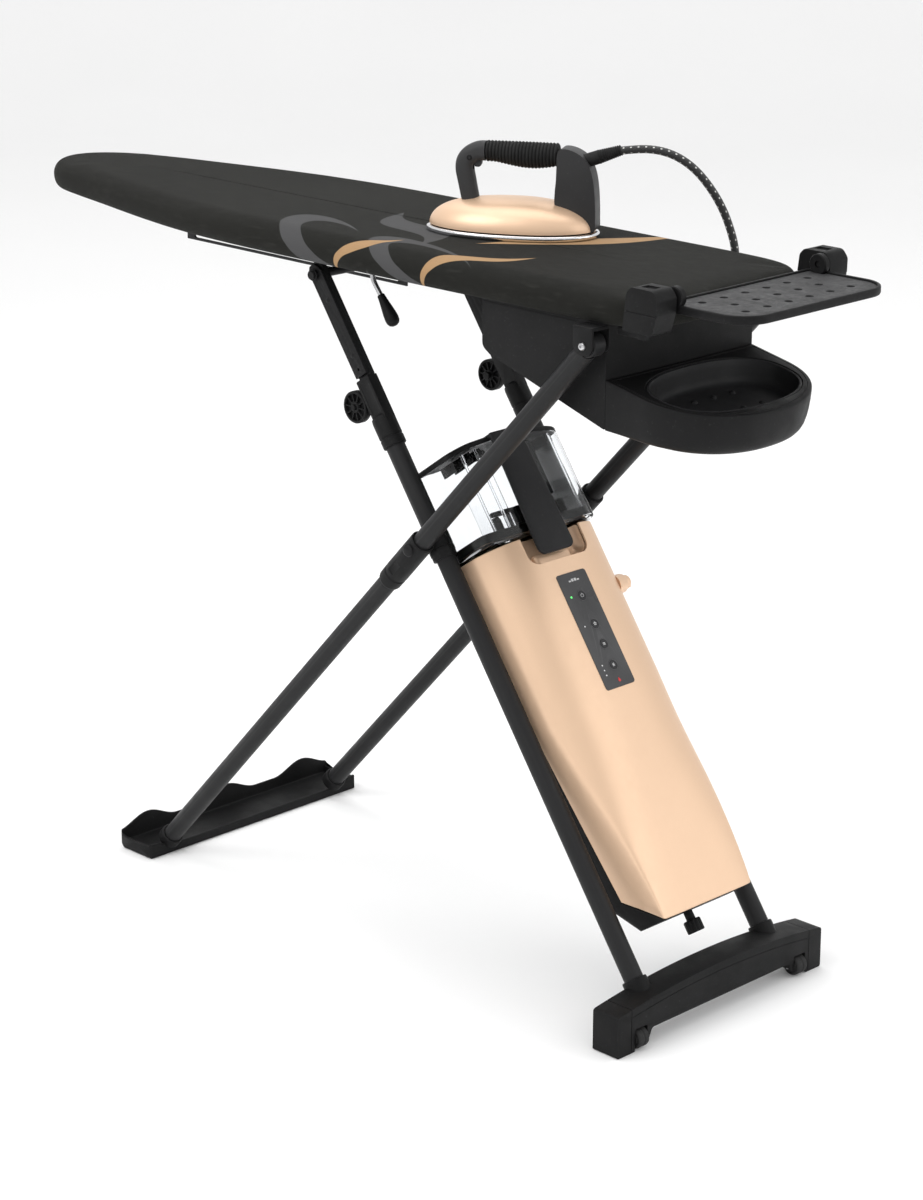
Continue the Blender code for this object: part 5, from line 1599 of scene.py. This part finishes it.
def hull_of_circles(a, ra, b, rb):
    """Outline round two circles: a drop shape."""
    steps = 16
    a, b = Vector(a), Vector(b)
    along = b - a
    turn = math.atan2(along.y, along.x)
    lean = math.acos((ra - rb) / along.length)
    loop = [(a.x + ra * math.cos(t), a.y + ra * math.sin(t)) for t in
            (turn + lean + (TURN - 2 * lean) * i / steps for i in range(steps + 1))]
    return loop + [(b.x + rb * math.cos(t), b.y + rb * math.sin(t)) for t in
                   (turn - lean + 2 * lean * i / steps for i in range(steps + 1))]


def build_wheel_forks():
    """Moulded coupling between tube and upper link, with a drop-shaped arm and axle for the wheel."""
    for side, sign in SIDES:
        y = sign * LEG_Y
        profile = [(0.0132, 0.7998), (0.0132, 0.7765), (0.014, 0.775), (0.015, 0.775), (0.0158, 0.7758),
                   (0.0158, 0.786), (0.0151, 0.7866), (0.0151, 0.7884), (0.0158, 0.789), (0.0158, 0.812),
                   (0.015, 0.8165), (0.011, 0.82), (0, 0.82), (0, 0.8003), (0.0125, 0.8003),
                   (0.0132, 0.7998)]
        fork = lathe("leg_coupling_" + side, profile, moved(INNER, 0, y, 0), 64)
        body = filleted([(-0.0108, 0.808), (0.0148, 0.808), (0.0148, 0.8722), (-0.0108, 0.8722)],
                        [0.003, 0.003, 0.002, 0.002])
        low, high = sorted((-y - 0.008, -y + 0.008))
        block = rounded(plate("block", body, low, high, INNER @ SIDEWAYS), 0.0016, 3, angle=50)
        low, high = sorted((-sign * 0.114, -sign * 0.1172))
        arm = plate("arm", hull_of_circles((0.0, 0.846), 0.02, WHEEL, 0.0072), low, high, INNER @ SIDEWAYS)
        arm = rounded(arm, 0.0006, 2, angle=50)
        keep = box("keep", (-0.06, y - 0.03, 0.8), (0.0146, y + 0.03, 0.872), INNER)
        boolean(arm, [keep], 'INTERSECT')
        hub = lathe("hub", [(0, 0.002), (0.0052, 0.002), (0.006, 0.0012), (0.006, -0.0004), (0, -0.0004)],
                    facing((WHEEL[0], sign * 0.114, WHEEL[1]), (0, -sign, 0), INNER), 32)
        axle = lathe("axle", [(0, 0.0096), (0.003, 0.0096), (0.0038, 0.0088), (0.0038, -0.008),
                              (0, -0.008)],
                     facing((WHEEL[0], sign * 0.1235, WHEEL[1]), (0, sign, 0), INNER), 32)
        boolean(fork, [block, arm, hub, axle], 'UNION')
        panel = box("panel", (-0.007, y + sign * 0.0074, 0.822), (0.011, y + sign * 0.009, 0.866), INNER,
                    edge=0.0012)
        boolean(fork, [panel])
        dress(smooth(fork, 32), BLACK, "inner_stand", "black_plastic", "wheel_fork_" + side)


def build_wheels():
    """Rim, hub and web in one turning, with ten ribs either side of the web."""
    for side in ("left", "right"):
        low, high = span("wheel_" + side, INNER)
        half = (high.y - low.y) / 2
        radius = (high.z - low.z) / 2
        centre = ((low.x + high.x) / 2, (low.y + high.y) / 2, (low.z + high.z) / 2)
        profile = [(0.0041, half), (0.007, half), (0.0076, half - 0.0007), (0.008, 0.0012),
                   (0.0174, 0.0012), (0.0179, half - 0.0006), (0.0184, half), (radius - 0.0014, half),
                   (radius - 0.0004, half - 0.0005), (radius, half - 0.0014), (radius, 0)]
        profile = mirrored(profile)
        wheel = lathe("transport_wheel_" + side, profile, facing(centre, (0, 1, 0), INNER), 72)
        ribs = []
        for i in range(10):
            turn = facing(centre, (0, 1, 0), INNER) @ Matrix.Rotation(TURN * i / 10, 4, 'Z')
            ribs.append(box("rib", (0.0066, -0.0008, 0.0006 - half), (0.0186, 0.0008, half - 0.0006), turn,
                            edge=0.0003, segments=2))
        wheel = merged("transport_wheel_" + side, [wheel] + ribs, facing(centre, (0, 1, 0), INNER))
        dress(smooth(wheel, 35), BLACK, "wheel_" + side, "black_plastic", "wheel_" + side)


# ---------------------------------------------------------------- outer stand
OUTER_LEG_Y = 0.159


def build_outer_legs():
    """Tubes with flattened eyes at the top, and the moulded collars at the crossing."""
    for side, sign in SIDES:
        y = sign * OUTER_LEG_Y
        low = span("outer_leg_" + side, OUTER)[0].z
        leg = tube("board_leg_" + side, 0.0128, 0.0113, low, -0.0125, moved(OUTER, 0, y, 0), 72)
        eye = [(0, 0.01), (0.0138, 0.01), (0.015, 0.0088), (0.015, -0.0088), (0.0138, -0.01), (0, -0.01)]
        boolean(leg, [lathe("eye", eye, facing((0, y, 0), (0, 1, 0), OUTER), 56)], 'UNION')
        drills = [cylinder("drill", 0.0048, -0.03, 0.03, facing((0, y, s), (0, 1, 0), OUTER),
                           40) for s in (0, -OUTER_CROSS)]
        boolean(leg, drills)
        dress(smooth(leg, 32), TUBE, "outer_stand", "grey_tube", "outer_leg_" + side)

        top = -OUTER_CROSS + 0.014
        profile = [(0.0131, top), (0.0138, top + 0.001), (0.0152, top + 0.001), (0.0163, top - 0.0004),
                   (0.0163, -0.488), (0.0156, -0.49), (0.0156, -0.493), (0.0162, -0.494), (0.0158, -0.5075),
                   (0.015, -0.51), (0.014, -0.511), (0.0131, -0.51), (0.0131, top)]
        collar = lathe("crossing_collar_" + side, profile, moved(OUTER, 0, y, 0), 72)
        recess = [box("recess", (-0.0055, y + sign * 0.0152, -0.484), (0.0055, y + sign * 0.018, -0.464),
                      OUTER, edge=0.0006)]
        drill = cylinder("drill", 0.0048, -0.03, 0.03, facing((0, y, -OUTER_CROSS), (0, 1, 0), OUTER), 40)
        boolean(collar, recess + [drill])
        dress(smooth(collar, 32), BLACK, "outer_stand", "black_plastic", "cross_collar_" + side)


def build_trough():
    """Channel across the feet of the outer legs: scalloped rear wall, low front wall, rounded lips."""
    low, high = span("foot_trough")
    front = -0.437
    back = low.x
    half = high.y
    wall = 0.004
    floor = 0.01

    def bump(y, centre, width):
        return 0.5 + 0.5 * math.cos(math.pi * min(1, abs(y - centre) / width))

    stations = [-half, -half + 0.0007, -half + 0.0022, -half + 0.0042, -half + 0.0052]
    stations += [-half + 0.0052 + (2 * half - 0.0104) * i / 120 for i in range(1, 120)]
    stations += [-y for y in stations[4::-1]]
    rings = []
    for y in stations:
        edge = half - abs(y)
        inset = 0.0028 * (1 - min(1, edge / 0.0022)) ** 1.5
        rear = 0.0265 + 0.0165 * max(bump(y, 0, 0.058), bump(y, 0.15, 0.056), bump(y, -0.15, 0.056))
        fore = 0.0125 + 0.009 * max(bump(y, half, 0.055), bump(y, -half, 0.055))
        bottom = floor if edge > 0.0045 else min(fore, rear) - 0.003
        section = [(front - inset, inset), (back + 0.004 + inset, inset), (back + inset, 0.005 + inset),
                   (back + inset, rear - inset), (back + wall, rear - inset),
                   (back + wall + 0.0006, bottom),
                   (front - wall - 0.0006, bottom), (front - wall, fore - inset),
                   (front - inset, fore - inset)]
        radii = [0.002, 0.004, 0.005, 0.0018, 0.0018, 0.003, 0.003, 0.0018, 0.0018]
        rings.append([Vector((x, y, z)) for x, z in filleted(section, radii, 4)])
    trough = loft("floor_channel", rings, angle=32)
    bosses, bores = [], []
    for y in (-OUTER_LEG_Y, OUTER_LEG_Y):
        beside = moved(OUTER, 0, y, 0)
        bosses.append(lathe("boss", [(0, -1.176), (0.0148, -1.176), (0.016, -1.1775), (0.0162, -1.179),
                                     (0.0162, -1.19), (0.015, -1.1916), (0, -1.1916)], beside, 64))
        bores.append(cylinder("bore", 0.0131, -1.1853, -1.1, beside, 64))
    boolean(trough, bosses, 'UNION')
    boolean(trough, bores)
    dress(smooth(trough, 32), BLACK, "outer_stand", "black_plastic", "foot_trough")


# ---------------------------------------------------------------- under the board
def build_height_rail():
    """Folded channel with a slot in each flange, a row of holes and its screws."""
    low, high = span("height_rail")
    top, foot = high.z, low.z
    outline = [(-0.048, foot), (-0.0452, foot), (-0.045, top - 0.0026), (0.045, top - 0.0026),
               (0.0452, foot), (0.048, foot), (0.048, top), (-0.048, top)]
    outline = filleted(outline, [0.001, 0.001, 0.003, 0.003, 0.001, 0.001, 0.005, 0.005])
    rail = plate("slide_rail", outline, low.x, high.x, BENCH @ CROSSWISE)
    slot = filleted([(-0.485, 0.8752), (-0.075, 0.8752), (-0.075, 0.8962), (-0.485, 0.8962)], 0.004)
    tools = [plate("slot", slot, -0.1, 0.1, BENCH @ SIDEWAYS)]
    for i in range(7):
        tools.append(cylinder("hole", 0.009, -0.02, 0.02, moved(BENCH, -0.46 + 0.06 * i, 0, top), 32))
    boolean(rail, tools)
    dress(smooth(rail, 32), TUBE, "board", "grey_tube", "height_rail")
    for i, x in enumerate((-0.49, -0.28, -0.07)):
        for side, sign in SIDES:
            head = screw_head("rail_screw_%s_%d" % (side, i), (x, sign * 0.03, top - 0.0026), (0, 0, -1),
                              0.0042, 0.002)
            dress(head, STEEL, "board", "steel_parts")


def build_pivot_brackets():
    """Moulded fork under each edge: two rounded cheeks, a web and a flange, with a bright bolt."""
    for side, sign in SIDES:
        top = span("pivot_bracket_" + side)[1].z
        cheek = filleted([(0.356, 0.9065), (0.356, 0.874), (0.387, 0.874), (0.387, 0.9065)],
                         [0, 0.0145, 0.0145, 0], 10)
        parts = []
        for a, b in ((0.1434, 0.1456), (0.1724, 0.175)):
            near, far = sorted((-sign * a, -sign * b))
            parts.append(rounded(plate("cheek", cheek, near, far, BENCH @ SIDEWAYS), 0.0005, 2, angle=50))
        web = [min(sign * 0.1434, sign * 0.175), max(sign * 0.1434, sign * 0.175)]
        body = box("pivot_fork_" + side, (0.356, web[0], 0.905), (0.387, web[1], 0.9096), edge=0.0008)
        flange = sorted((sign * 0.1434, sign * 0.151))
        parts.append(box("flange", (0.356, flange[0], 0.906), (0.387, flange[1], top)))
        boolean(body, parts, 'UNION')
        dress(smooth(body, 32), BLACK, "board", "black_plastic", "pivot_bracket_" + side)
        profile = [(0, 0.0034), (0.0022, 0.0033), (0.004, 0.0026), (0.005, 0.0008), (0.005, -0.0004),
                   (0.0045, -0.0006), (0.0045, -0.0298), (0.0038, -0.0306), (0, -0.0306)]
        across = facing((PIVOT.x - BENCH.translation.x, sign * 0.1751, PIVOT.z), (0, sign, 0))
        bolt = lathe("pivot_bolt_" + side, profile, across, 48)
        boolean(bolt, [plate("socket", circle(0, 0, 0.002, 6), 0.0018, 0.01, across)])
        dress(smooth(bolt, 30), STEEL, "board", "steel_parts")


def build_housing():
    """Blower housing with rounded lower corners, a parting line, air slots and screws."""
    top = span("blower_housing")[1].z
    outline = [(0.165, top), (0.165, 0.845), (0.178, 0.8365), (0.372, 0.776), (0.372, top)]
    inside = [(0.168, 0.95), (0.168, 0.848), (0.18, 0.8392), (0.369, 0.7803), (0.369, 0.95)]
    housing = plate("blower_shell", filleted(outline, [0, 0.012, 0.016, 0.0025, 0], 8), -0.1345, 0.1345,
                    BENCH @ SIDEWAYS)
    rounded(housing, 0.005, 6, angle=45)
    hollow = plate("hollow", filleted(inside, [0, 0.01, 0.014, 0.002, 0], 8), -0.1315, 0.1315,
                   BENCH @ SIDEWAYS)
    tools = [hollow]
    slope = math.atan2(0.776 - 0.8365, 0.372 - 0.178)
    along = Matrix.Translation((0.178, 0, 0.8365)) @ Matrix.Rotation(-slope, 4, 'Y')
    for row in (-1, 1):
        for i in range(11):
            x = 0.045 + 0.0105 * i
            tools.append(box("slot", (x, row * 0.034 - 0.027, -0.012),
                             (x + 0.0045, row * 0.034 + 0.027, 0.012),
                             BENCH @ along, edge=0.0015, segments=2))
    for sign in (-1, 1):
        line = plate("line", [(0.15, 0.9018), (0.38, 0.9018), (0.38, 0.9028), (0.15, 0.9028)],
                     *sorted((-sign * 0.1339, -sign * 0.15)), BENCH @ SIDEWAYS)
        tools.append(line)
    tools.append(box("line", (0.16, -0.15, 0.9018), (0.1656, 0.15, 0.9028)))
    boolean(housing, tools)
    dress(smooth(housing, 30), BLACK, "board", "black_plastic", "blower_housing")
    for side, sign in SIDES:
        for i, x in enumerate((0.02, 0.17)):
            at = along @ Vector((x, sign * 0.12, 0.0))
            head = screw_head("housing_screw_%s_%d" % (side, i), at,
                              Vector((math.sin(slope), 0, -math.cos(slope))), 0.004, 0.0014)
            dress(head, STEEL, "board", "steel_parts")


TRAY_LOW, TRAY_HIGH = span("iron_tray")
TRAY_BACK = TRAY_LOW.x
TRAY_RIM = TRAY_HIGH.z
TRAY_HALF = 0.1345
TRAY_COUNT = 120


def power_point(angle, ahead, behind, half, power):
    c, s = math.cos(angle), math.sin(angle)
    reach = ahead if c > 0 else behind
    return math.copysign(abs(c) ** (2 / power), c) * reach, math.copysign(abs(s) ** (2 / power), s) * half


def tray_edge(i, inset):
    """Outer edge: round front, straight sides back to the housing, and on along it."""
    angle = TURN * i / TRAY_COUNT - math.pi
    side, front = 0.056, 0.098
    if abs(angle) <= math.pi / 2:
        x, y = power_point(angle, front - inset, 0, TRAY_HALF - inset, 2.15)
        return side + x, y
    u = (abs(angle) - math.pi / 2) / (math.pi / 2)
    sign = 1 if angle > 0 else -1
    if u < 0.5:
        return side * (1 - u / 0.5) + inset * u / 0.5, sign * (TRAY_HALF - inset)
    return inset, sign * (TRAY_HALF - inset) * (1 - (u - 0.5) / 0.5)


def pocket_edge(i, inset):
    """Edge of the hollow: fully rounded, with an arched back."""
    angle = TURN * i / TRAY_COUNT - math.pi
    x, y = power_point(angle, 0.066 - inset, 0.06 - inset, 0.1165 - inset, 2.4)
    return 0.07 + x, y


def rim_height(x):
    return TRAY_RIM - 0.21 * x


def foot_height(x):
    return 0.7762 - 0.14 * x


def tray_level(edge, inset, drop):
    """Ring at a depth under the sloping rim."""
    ring = []
    for i in range(TRAY_COUNT):
        x, y = edge(i, inset)
        ring.append(Vector((TRAY_BACK + x, y, rim_height(x) + drop)))
    return ring


def tray_wall(share, draw):
    """Ring of the outer wall between foot (0) and rim (1), drawn in away from the housing."""
    ring = []
    for i in range(TRAY_COUNT):
        x, y = tray_edge(i, 0)
        narrow = 1 - (1 - draw) * min(1, x / 0.09)
        ring.append(Vector((TRAY_BACK + x * draw, y * narrow,
                            foot_height(x) * (1 - share) + rim_height(x) * share)))
    return ring


def build_tray():
    """Shell that runs on from the housing: tapered round wall, flat rim with a fine step, arched hollow."""
    walls = [(0.0, 0.84), (0.006, 0.868), (0.025, 0.895), (0.06, 0.918), (0.12, 0.938), (0.22, 0.957),
             (0.36, 0.972), (0.52, 0.984), (0.7, 0.993), (0.84, 0.998), (0.92, 1.0)]
    rings = [tray_wall(share, draw) for share, draw in walls]
    rim = ((0.0, -0.0016), (0.0005, -0.0006), (0.0016, 0.0), (0.005, 0.0), (0.0053, -0.0006),
           (0.006, -0.0006), (0.0063, 0.0))
    pocket = ((-0.0022, 0.0), (-0.0008, -0.0004), (0.0, -0.0016), (0.0, -0.033))
    rings += [tray_level(edge, *step) for edge, steps in ((tray_edge, rim),
                                                          (pocket_edge, pocket)) for step in steps]
    dress(loft("rest_tray", rings, angle=30), BLACK, "board", "black_plastic", "iron_tray")

    levels = [(0.006, -0.0327), (0.004, -0.0322), (0.0014, -0.03), (0.0003, -0.026), (0.0003, -0.0024),
              (0.0008, -0.0012), (0.0022, -0.0006), (0.0036, -0.0012), (0.0044, -0.003), (0.0052, -0.01),
              (0.0064, -0.02), (0.008, -0.0262), (0.0106, -0.029), (0.015, -0.0302), (0.03, -0.0305)]
    basin = loft("tray_insert", [tray_level(pocket_edge, inset, drop) for inset, drop in levels], angle=35)
    dress(basin, CHARCOAL, "board", "black_plastic", "basin_insert")
    for row, (x, shift) in enumerate(((0.044, -0.006), (0.082, 0.006))):
        for i in range(4):
            at = (TRAY_BACK + x, (i - 1.5) * 0.035 + shift, rim_height(x) - 0.0305)
            profile = [(0, 0.003), (0.0018, 0.0028), (0.0034, 0.0018), (0.0044, 0.0004), (0.0046, -0.001),
                       (0, -0.001)]
            stud = lathe("tray_stud_%d_%d" % (row, i), profile, moved(BENCH, *at), 32)
            dress(stud, CHARCOAL, "board", "black_plastic")


# ---------------------------------------------------------------- iron rest
REST = joint_at("rest_fold") - BENCH.translation


def rest_outline(inset):
    low, high = span("rest_frame")
    radius = 0.042 - inset
    x0, x1, half = low.x + inset, high.x - inset, high.y - inset
    corner = 0.006
    points = [(x0, -half + corner), (x0 + 0.0018, -half + 0.0018), (x0 + corner, -half)]
    for sign, start in ((-1, -math.pi / 2), (1, 0)):
        cx, cy = x1 - radius, sign * (half - radius)
        points += [(cx + radius * math.cos(start + math.pi / 2 * i / 16),
                    cy + radius * math.sin(start + math.pi / 2 * i / 16))
                   for i in range(17)]
    return points + [(x0 + corner, half), (x0 + 0.0018, half - 0.0018), (x0, half - corner)]


def build_iron_rest():
    """Two brackets with their pins, the frame with its ears, and the perforated rubber mat in it."""
    for side, sign in SIDES:
        low, high = sorted((-sign * 0.14, -sign * 0.174))
        shape = [(0.433, 0.915), (0.479, 0.915), (0.4865, 0.94), (0.487, 0.958), (0.479, 0.968),
                 (0.446, 0.968), (0.439, 0.961)]
        block = plate("rest_block_" + side, filleted(shape, [0.003, 0.003, 0.02, 0.008, 0.01, 0.008, 0.01],
                                                     6), low, high, BENCH @ SIDEWAYS)
        rounded(block, 0.003, 5, angle=40)
        near, far = sorted((sign * 0.108, sign * 0.146))
        foot = box("foot", (0.4, near, 0.9005), (0.44, far, 0.9096), edge=0.0012)
        neck = sorted((sign * 0.1413, sign * 0.15))
        boolean(block, [foot, box("neck", (0.4345, neck[0], 0.9008), (0.447, neck[1], 0.925))], 'UNION')
        low_y, high_y = sorted((sign * 0.1385, sign * 0.176))
        tools = [box("seam", (0.43, sign * 0.1733 if sign > 0 else sign * 0.18, 0.9385),
                     (0.49, sign * 0.18 if sign > 0 else sign * 0.1733, 0.9395)),
                 box("seam", (0.4862, low_y, 0.9385), (0.495, high_y, 0.9395)),
                 box("seam", (0.43, low_y, 0.9385), (0.4384, high_y, 0.9395)),
                 box("slot", (0.452, sign * 0.157 - 0.0065, 0.9655), (0.472, sign * 0.157 + 0.0065, 0.98),
                     edge=0.001)]
        boolean(block, tools)
        dress(smooth(block, 32), BLACK, "board", "black_plastic", "rest_bracket_" + side)
        pin = lathe("rest_pivot_" + side, [(0, 0.006), (0.0034, 0.006), (0.004, 0.0054), (0.004, -0.0062),
                                           (0, -0.0062)],
                    facing((REST.x, sign * 0.1346, REST.z), (0, -sign, 0)), 32)
        dress(pin, LINK, "board", "steel_parts")

    base, top = 0.936, 0.947
    rings = []
    for inset, z in ((0.0045, base + 0.0025), (0.0045, top - 0.0008), (0.0037, top), (0.0016, top),
                     (0.0004, top - 0.0008),
                     (0.0, top - 0.0024), (0.0, base + 0.0026), (0.0008, base + 0.0008), (0.0028, base)):
        rings.append([Vector((x, y, z)) for x, y in rest_outline(inset)])
    rest = loft("rest_rim", rings, angle=34)
    ears, bores = [], []
    for side, sign in SIDES:
        at = (REST.x, sign * 0.131, REST.z)
        ear = [(0, 0.0045), (0.0118, 0.0045), (0.013, 0.0034), (0.013, -0.0034), (0.0118, -0.0045),
               (0, -0.0045)]
        ears.append(lathe("ear", ear, facing(at, (0, 1, 0)), 56))
        bores.append(cylinder("bore", 0.0043, -0.02, 0.02, facing(at, (0, 1, 0)), 40))
    boolean(rest, ears, 'UNION')
    boolean(rest, bores)
    dress(smooth(rest, 32), BLACK, "iron_rest", "black_plastic", "rest_frame")

    holes = []
    for x, count in ((0.488, 6), (0.521, 5), (0.554, 6)):
        holes += [circle(x, (i - (count - 1) / 2) * 0.0385, 0.0052, 28) for i in range(count)]
    mat = plate("rest_pad", rest_outline(0.0048), 0.9388, 0.9446, BENCH, holes)
    rounded(mat, 0.0007, 3, angle=50)
    reliefs = [cylinder("relief", 0.0146, -0.0145, 0.0145,
                        facing((REST.x, sign * 0.1395, REST.z), (0, 1, 0)), 56) for side, sign in SIDES]
    boolean(mat, reliefs)
    dress(smooth(mat, 32), MAT_GREY, "iron_rest", "rubber", "rest_mat")


def build_lever():
    """Bent rod with a drop-shaped knob, in a small barrel under the deck."""
    pivot = joint_at("lever_lift") - BENCH.translation
    path = curve_through([(0, 0, 0.002), (0.0012, 0, -0.01), (0.0036, 0, -0.02), (0.009, 0, -0.0282),
                          (0.0165, 0, -0.0375), (0.0215, 0, -0.044)], 8)
    matrix = moved(BENCH, *pivot)
    rod = sweep("latch_rod", path, lambda i, a: (0.0033 * math.cos(a), 0.0033 * math.sin(a)), matrix)
    barrel = lathe("barrel", [(0, 0.01), (0.0042, 0.01), (0.005, 0.0092), (0.005, -0.0092), (0.0042, -0.01),
                              (0, -0.01)], facing((0, 0, 0), (0, 1, 0), matrix), 40)
    boolean(rod, [barrel], 'UNION')
    dress(smooth(rod, 35), STEEL, "height_lever", "grey_tube", "height_lever")
    start, end = Vector((0.017, 0, -0.038)), Vector((0.044, 0, -0.0745))
    length = (end - start).length
    profile = [(0, length), (0.004, length - 0.0006), (0.007, length - 0.0026), (0.0088, length - 0.0062),
               (0.0092, length - 0.011), (0.0086, length - 0.018), (0.0074, length - 0.026),
               (0.006, length - 0.035), (0.0052, 0.004), (0.005, 0.0016), (0.0044, 0.0004), (0, 0.0002)]
    knob = lathe("latch_knob", profile, facing(start, end - start, matrix), 56)
    dress(smooth(knob, 60), BLACK, "height_lever", "black_plastic")


# ---------------------------------------------------------------- assembly
for build in (build_cover, build_pad, build_deck, build_soleplate, build_dome, build_handle,
              build_relief_and_hose):
    build()
build_knob(build_cover_shell())
for build in (build_rear_shell, build_panel, build_plug, build_tank, build_tank_handle, dress_inside,
              build_foot_bar,
              build_inner_legs, build_cross_hubs, build_wheel_forks, build_wheels, build_outer_legs,
              build_trough,
              build_height_rail, build_pivot_brackets, build_housing, build_tray, build_iron_rest,
              build_lever):
    build()


# ---------------------------------------------------------------- stage, light and camera
def white_ground():
    """Matt white with a very faint cloudiness."""
    paint = Paint("studio_ground")
    tone = paint.spread(paint.noise(1.5), 0.3, 0.7, 0.97, 1.0)
    grey = paint.node("ShaderNodeCombineColor")
    for socket in grey.inputs[:3]:
        paint.put(socket, tone)
    paint.put(paint.shader.inputs["Base Color"], grey.outputs[0])
    paint.shader.inputs["Roughness"].default_value = 0.9
    return paint.material


def sweep_backdrop():
    """Floor that curves up into a wall far behind the object."""
    away = Vector((-math.sin(math.radians(45)), math.cos(math.radians(45)), 0))
    side = Vector((away.y, -away.x, 0))
    profile = [(-14, 0), (6, 0)] + [(6 + 3 * math.sin(a), 3 - 3 * math.cos(a)) for a in
                                    (math.pi / 2 * k / 12 for k in range(1, 13))] + [(9, 14)]
    bm = bmesh.new()
    under = MIDDLE.to_2d().to_3d()
    rows = [[bm.verts.new(under + away * d + side * w + UP * (h - 0.0005)) for d, h in profile]
            for w in (-16, 16)]
    for i in range(len(profile) - 1):
        bm.faces.new((rows[0][i], rows[1][i], rows[1][i + 1], rows[0][i + 1]))
    ground = place("ground", bm, Matrix.Identity(4))
    smooth(ground, 60)
    ground.data.materials.append(white_ground())


def area_light(name, position, target, side, power):
    light = bpy.data.lights.new(name, 'AREA')
    light.shape = 'RECTANGLE'
    light.size = side
    light.size_y = side
    light.energy = power
    obj = linked(name, light)
    obj.location = position
    obj.rotation_euler = (Vector(target) - Vector(position)).to_track_quat('-Z', 'Y').to_euler()


sweep_backdrop()

world = bpy.data.worlds.new("studio")
bpy.context.scene.world = world
world.use_nodes = True
world.node_tree.nodes["Background"].inputs["Color"].default_value = (1.0, 1.0, 1.0, 1)
world.node_tree.nodes["Background"].inputs["Strength"].default_value = 0.85
bpy.context.scene.view_settings.view_transform = 'Standard'

AZIMUTH, ELEVATION, DISTANCE = math.radians(45.23), math.radians(18.0), 4.2
aim = MIDDLE + Vector((0.1144, -0.0061, -0.0874))
toward = Vector((math.sin(AZIMUTH) * math.cos(ELEVATION), -math.cos(AZIMUTH) * math.cos(ELEVATION),
                 math.sin(ELEVATION)))
camera_data = bpy.data.cameras.new("view")
camera_data.lens = 94.3
camera_data.sensor_width = 36
camera = linked("view", camera_data)
camera.location = aim + toward * DISTANCE
camera.rotation_euler = toward.to_track_quat('Z', 'Y').to_euler()
bpy.context.scene.camera = camera

right = UP.cross(toward).normalized()
area_light("key", aim + right * -2.6 + toward * 1.6 + UP * 2.4, aim, 2.2, 60)
area_light("fill", aim + right * 3.2 + toward * 1.2 + UP * 1.0, aim, 2.6, 22)
area_light("top", aim + UP * 3.2 - toward * 0.6, aim, 3, 45)
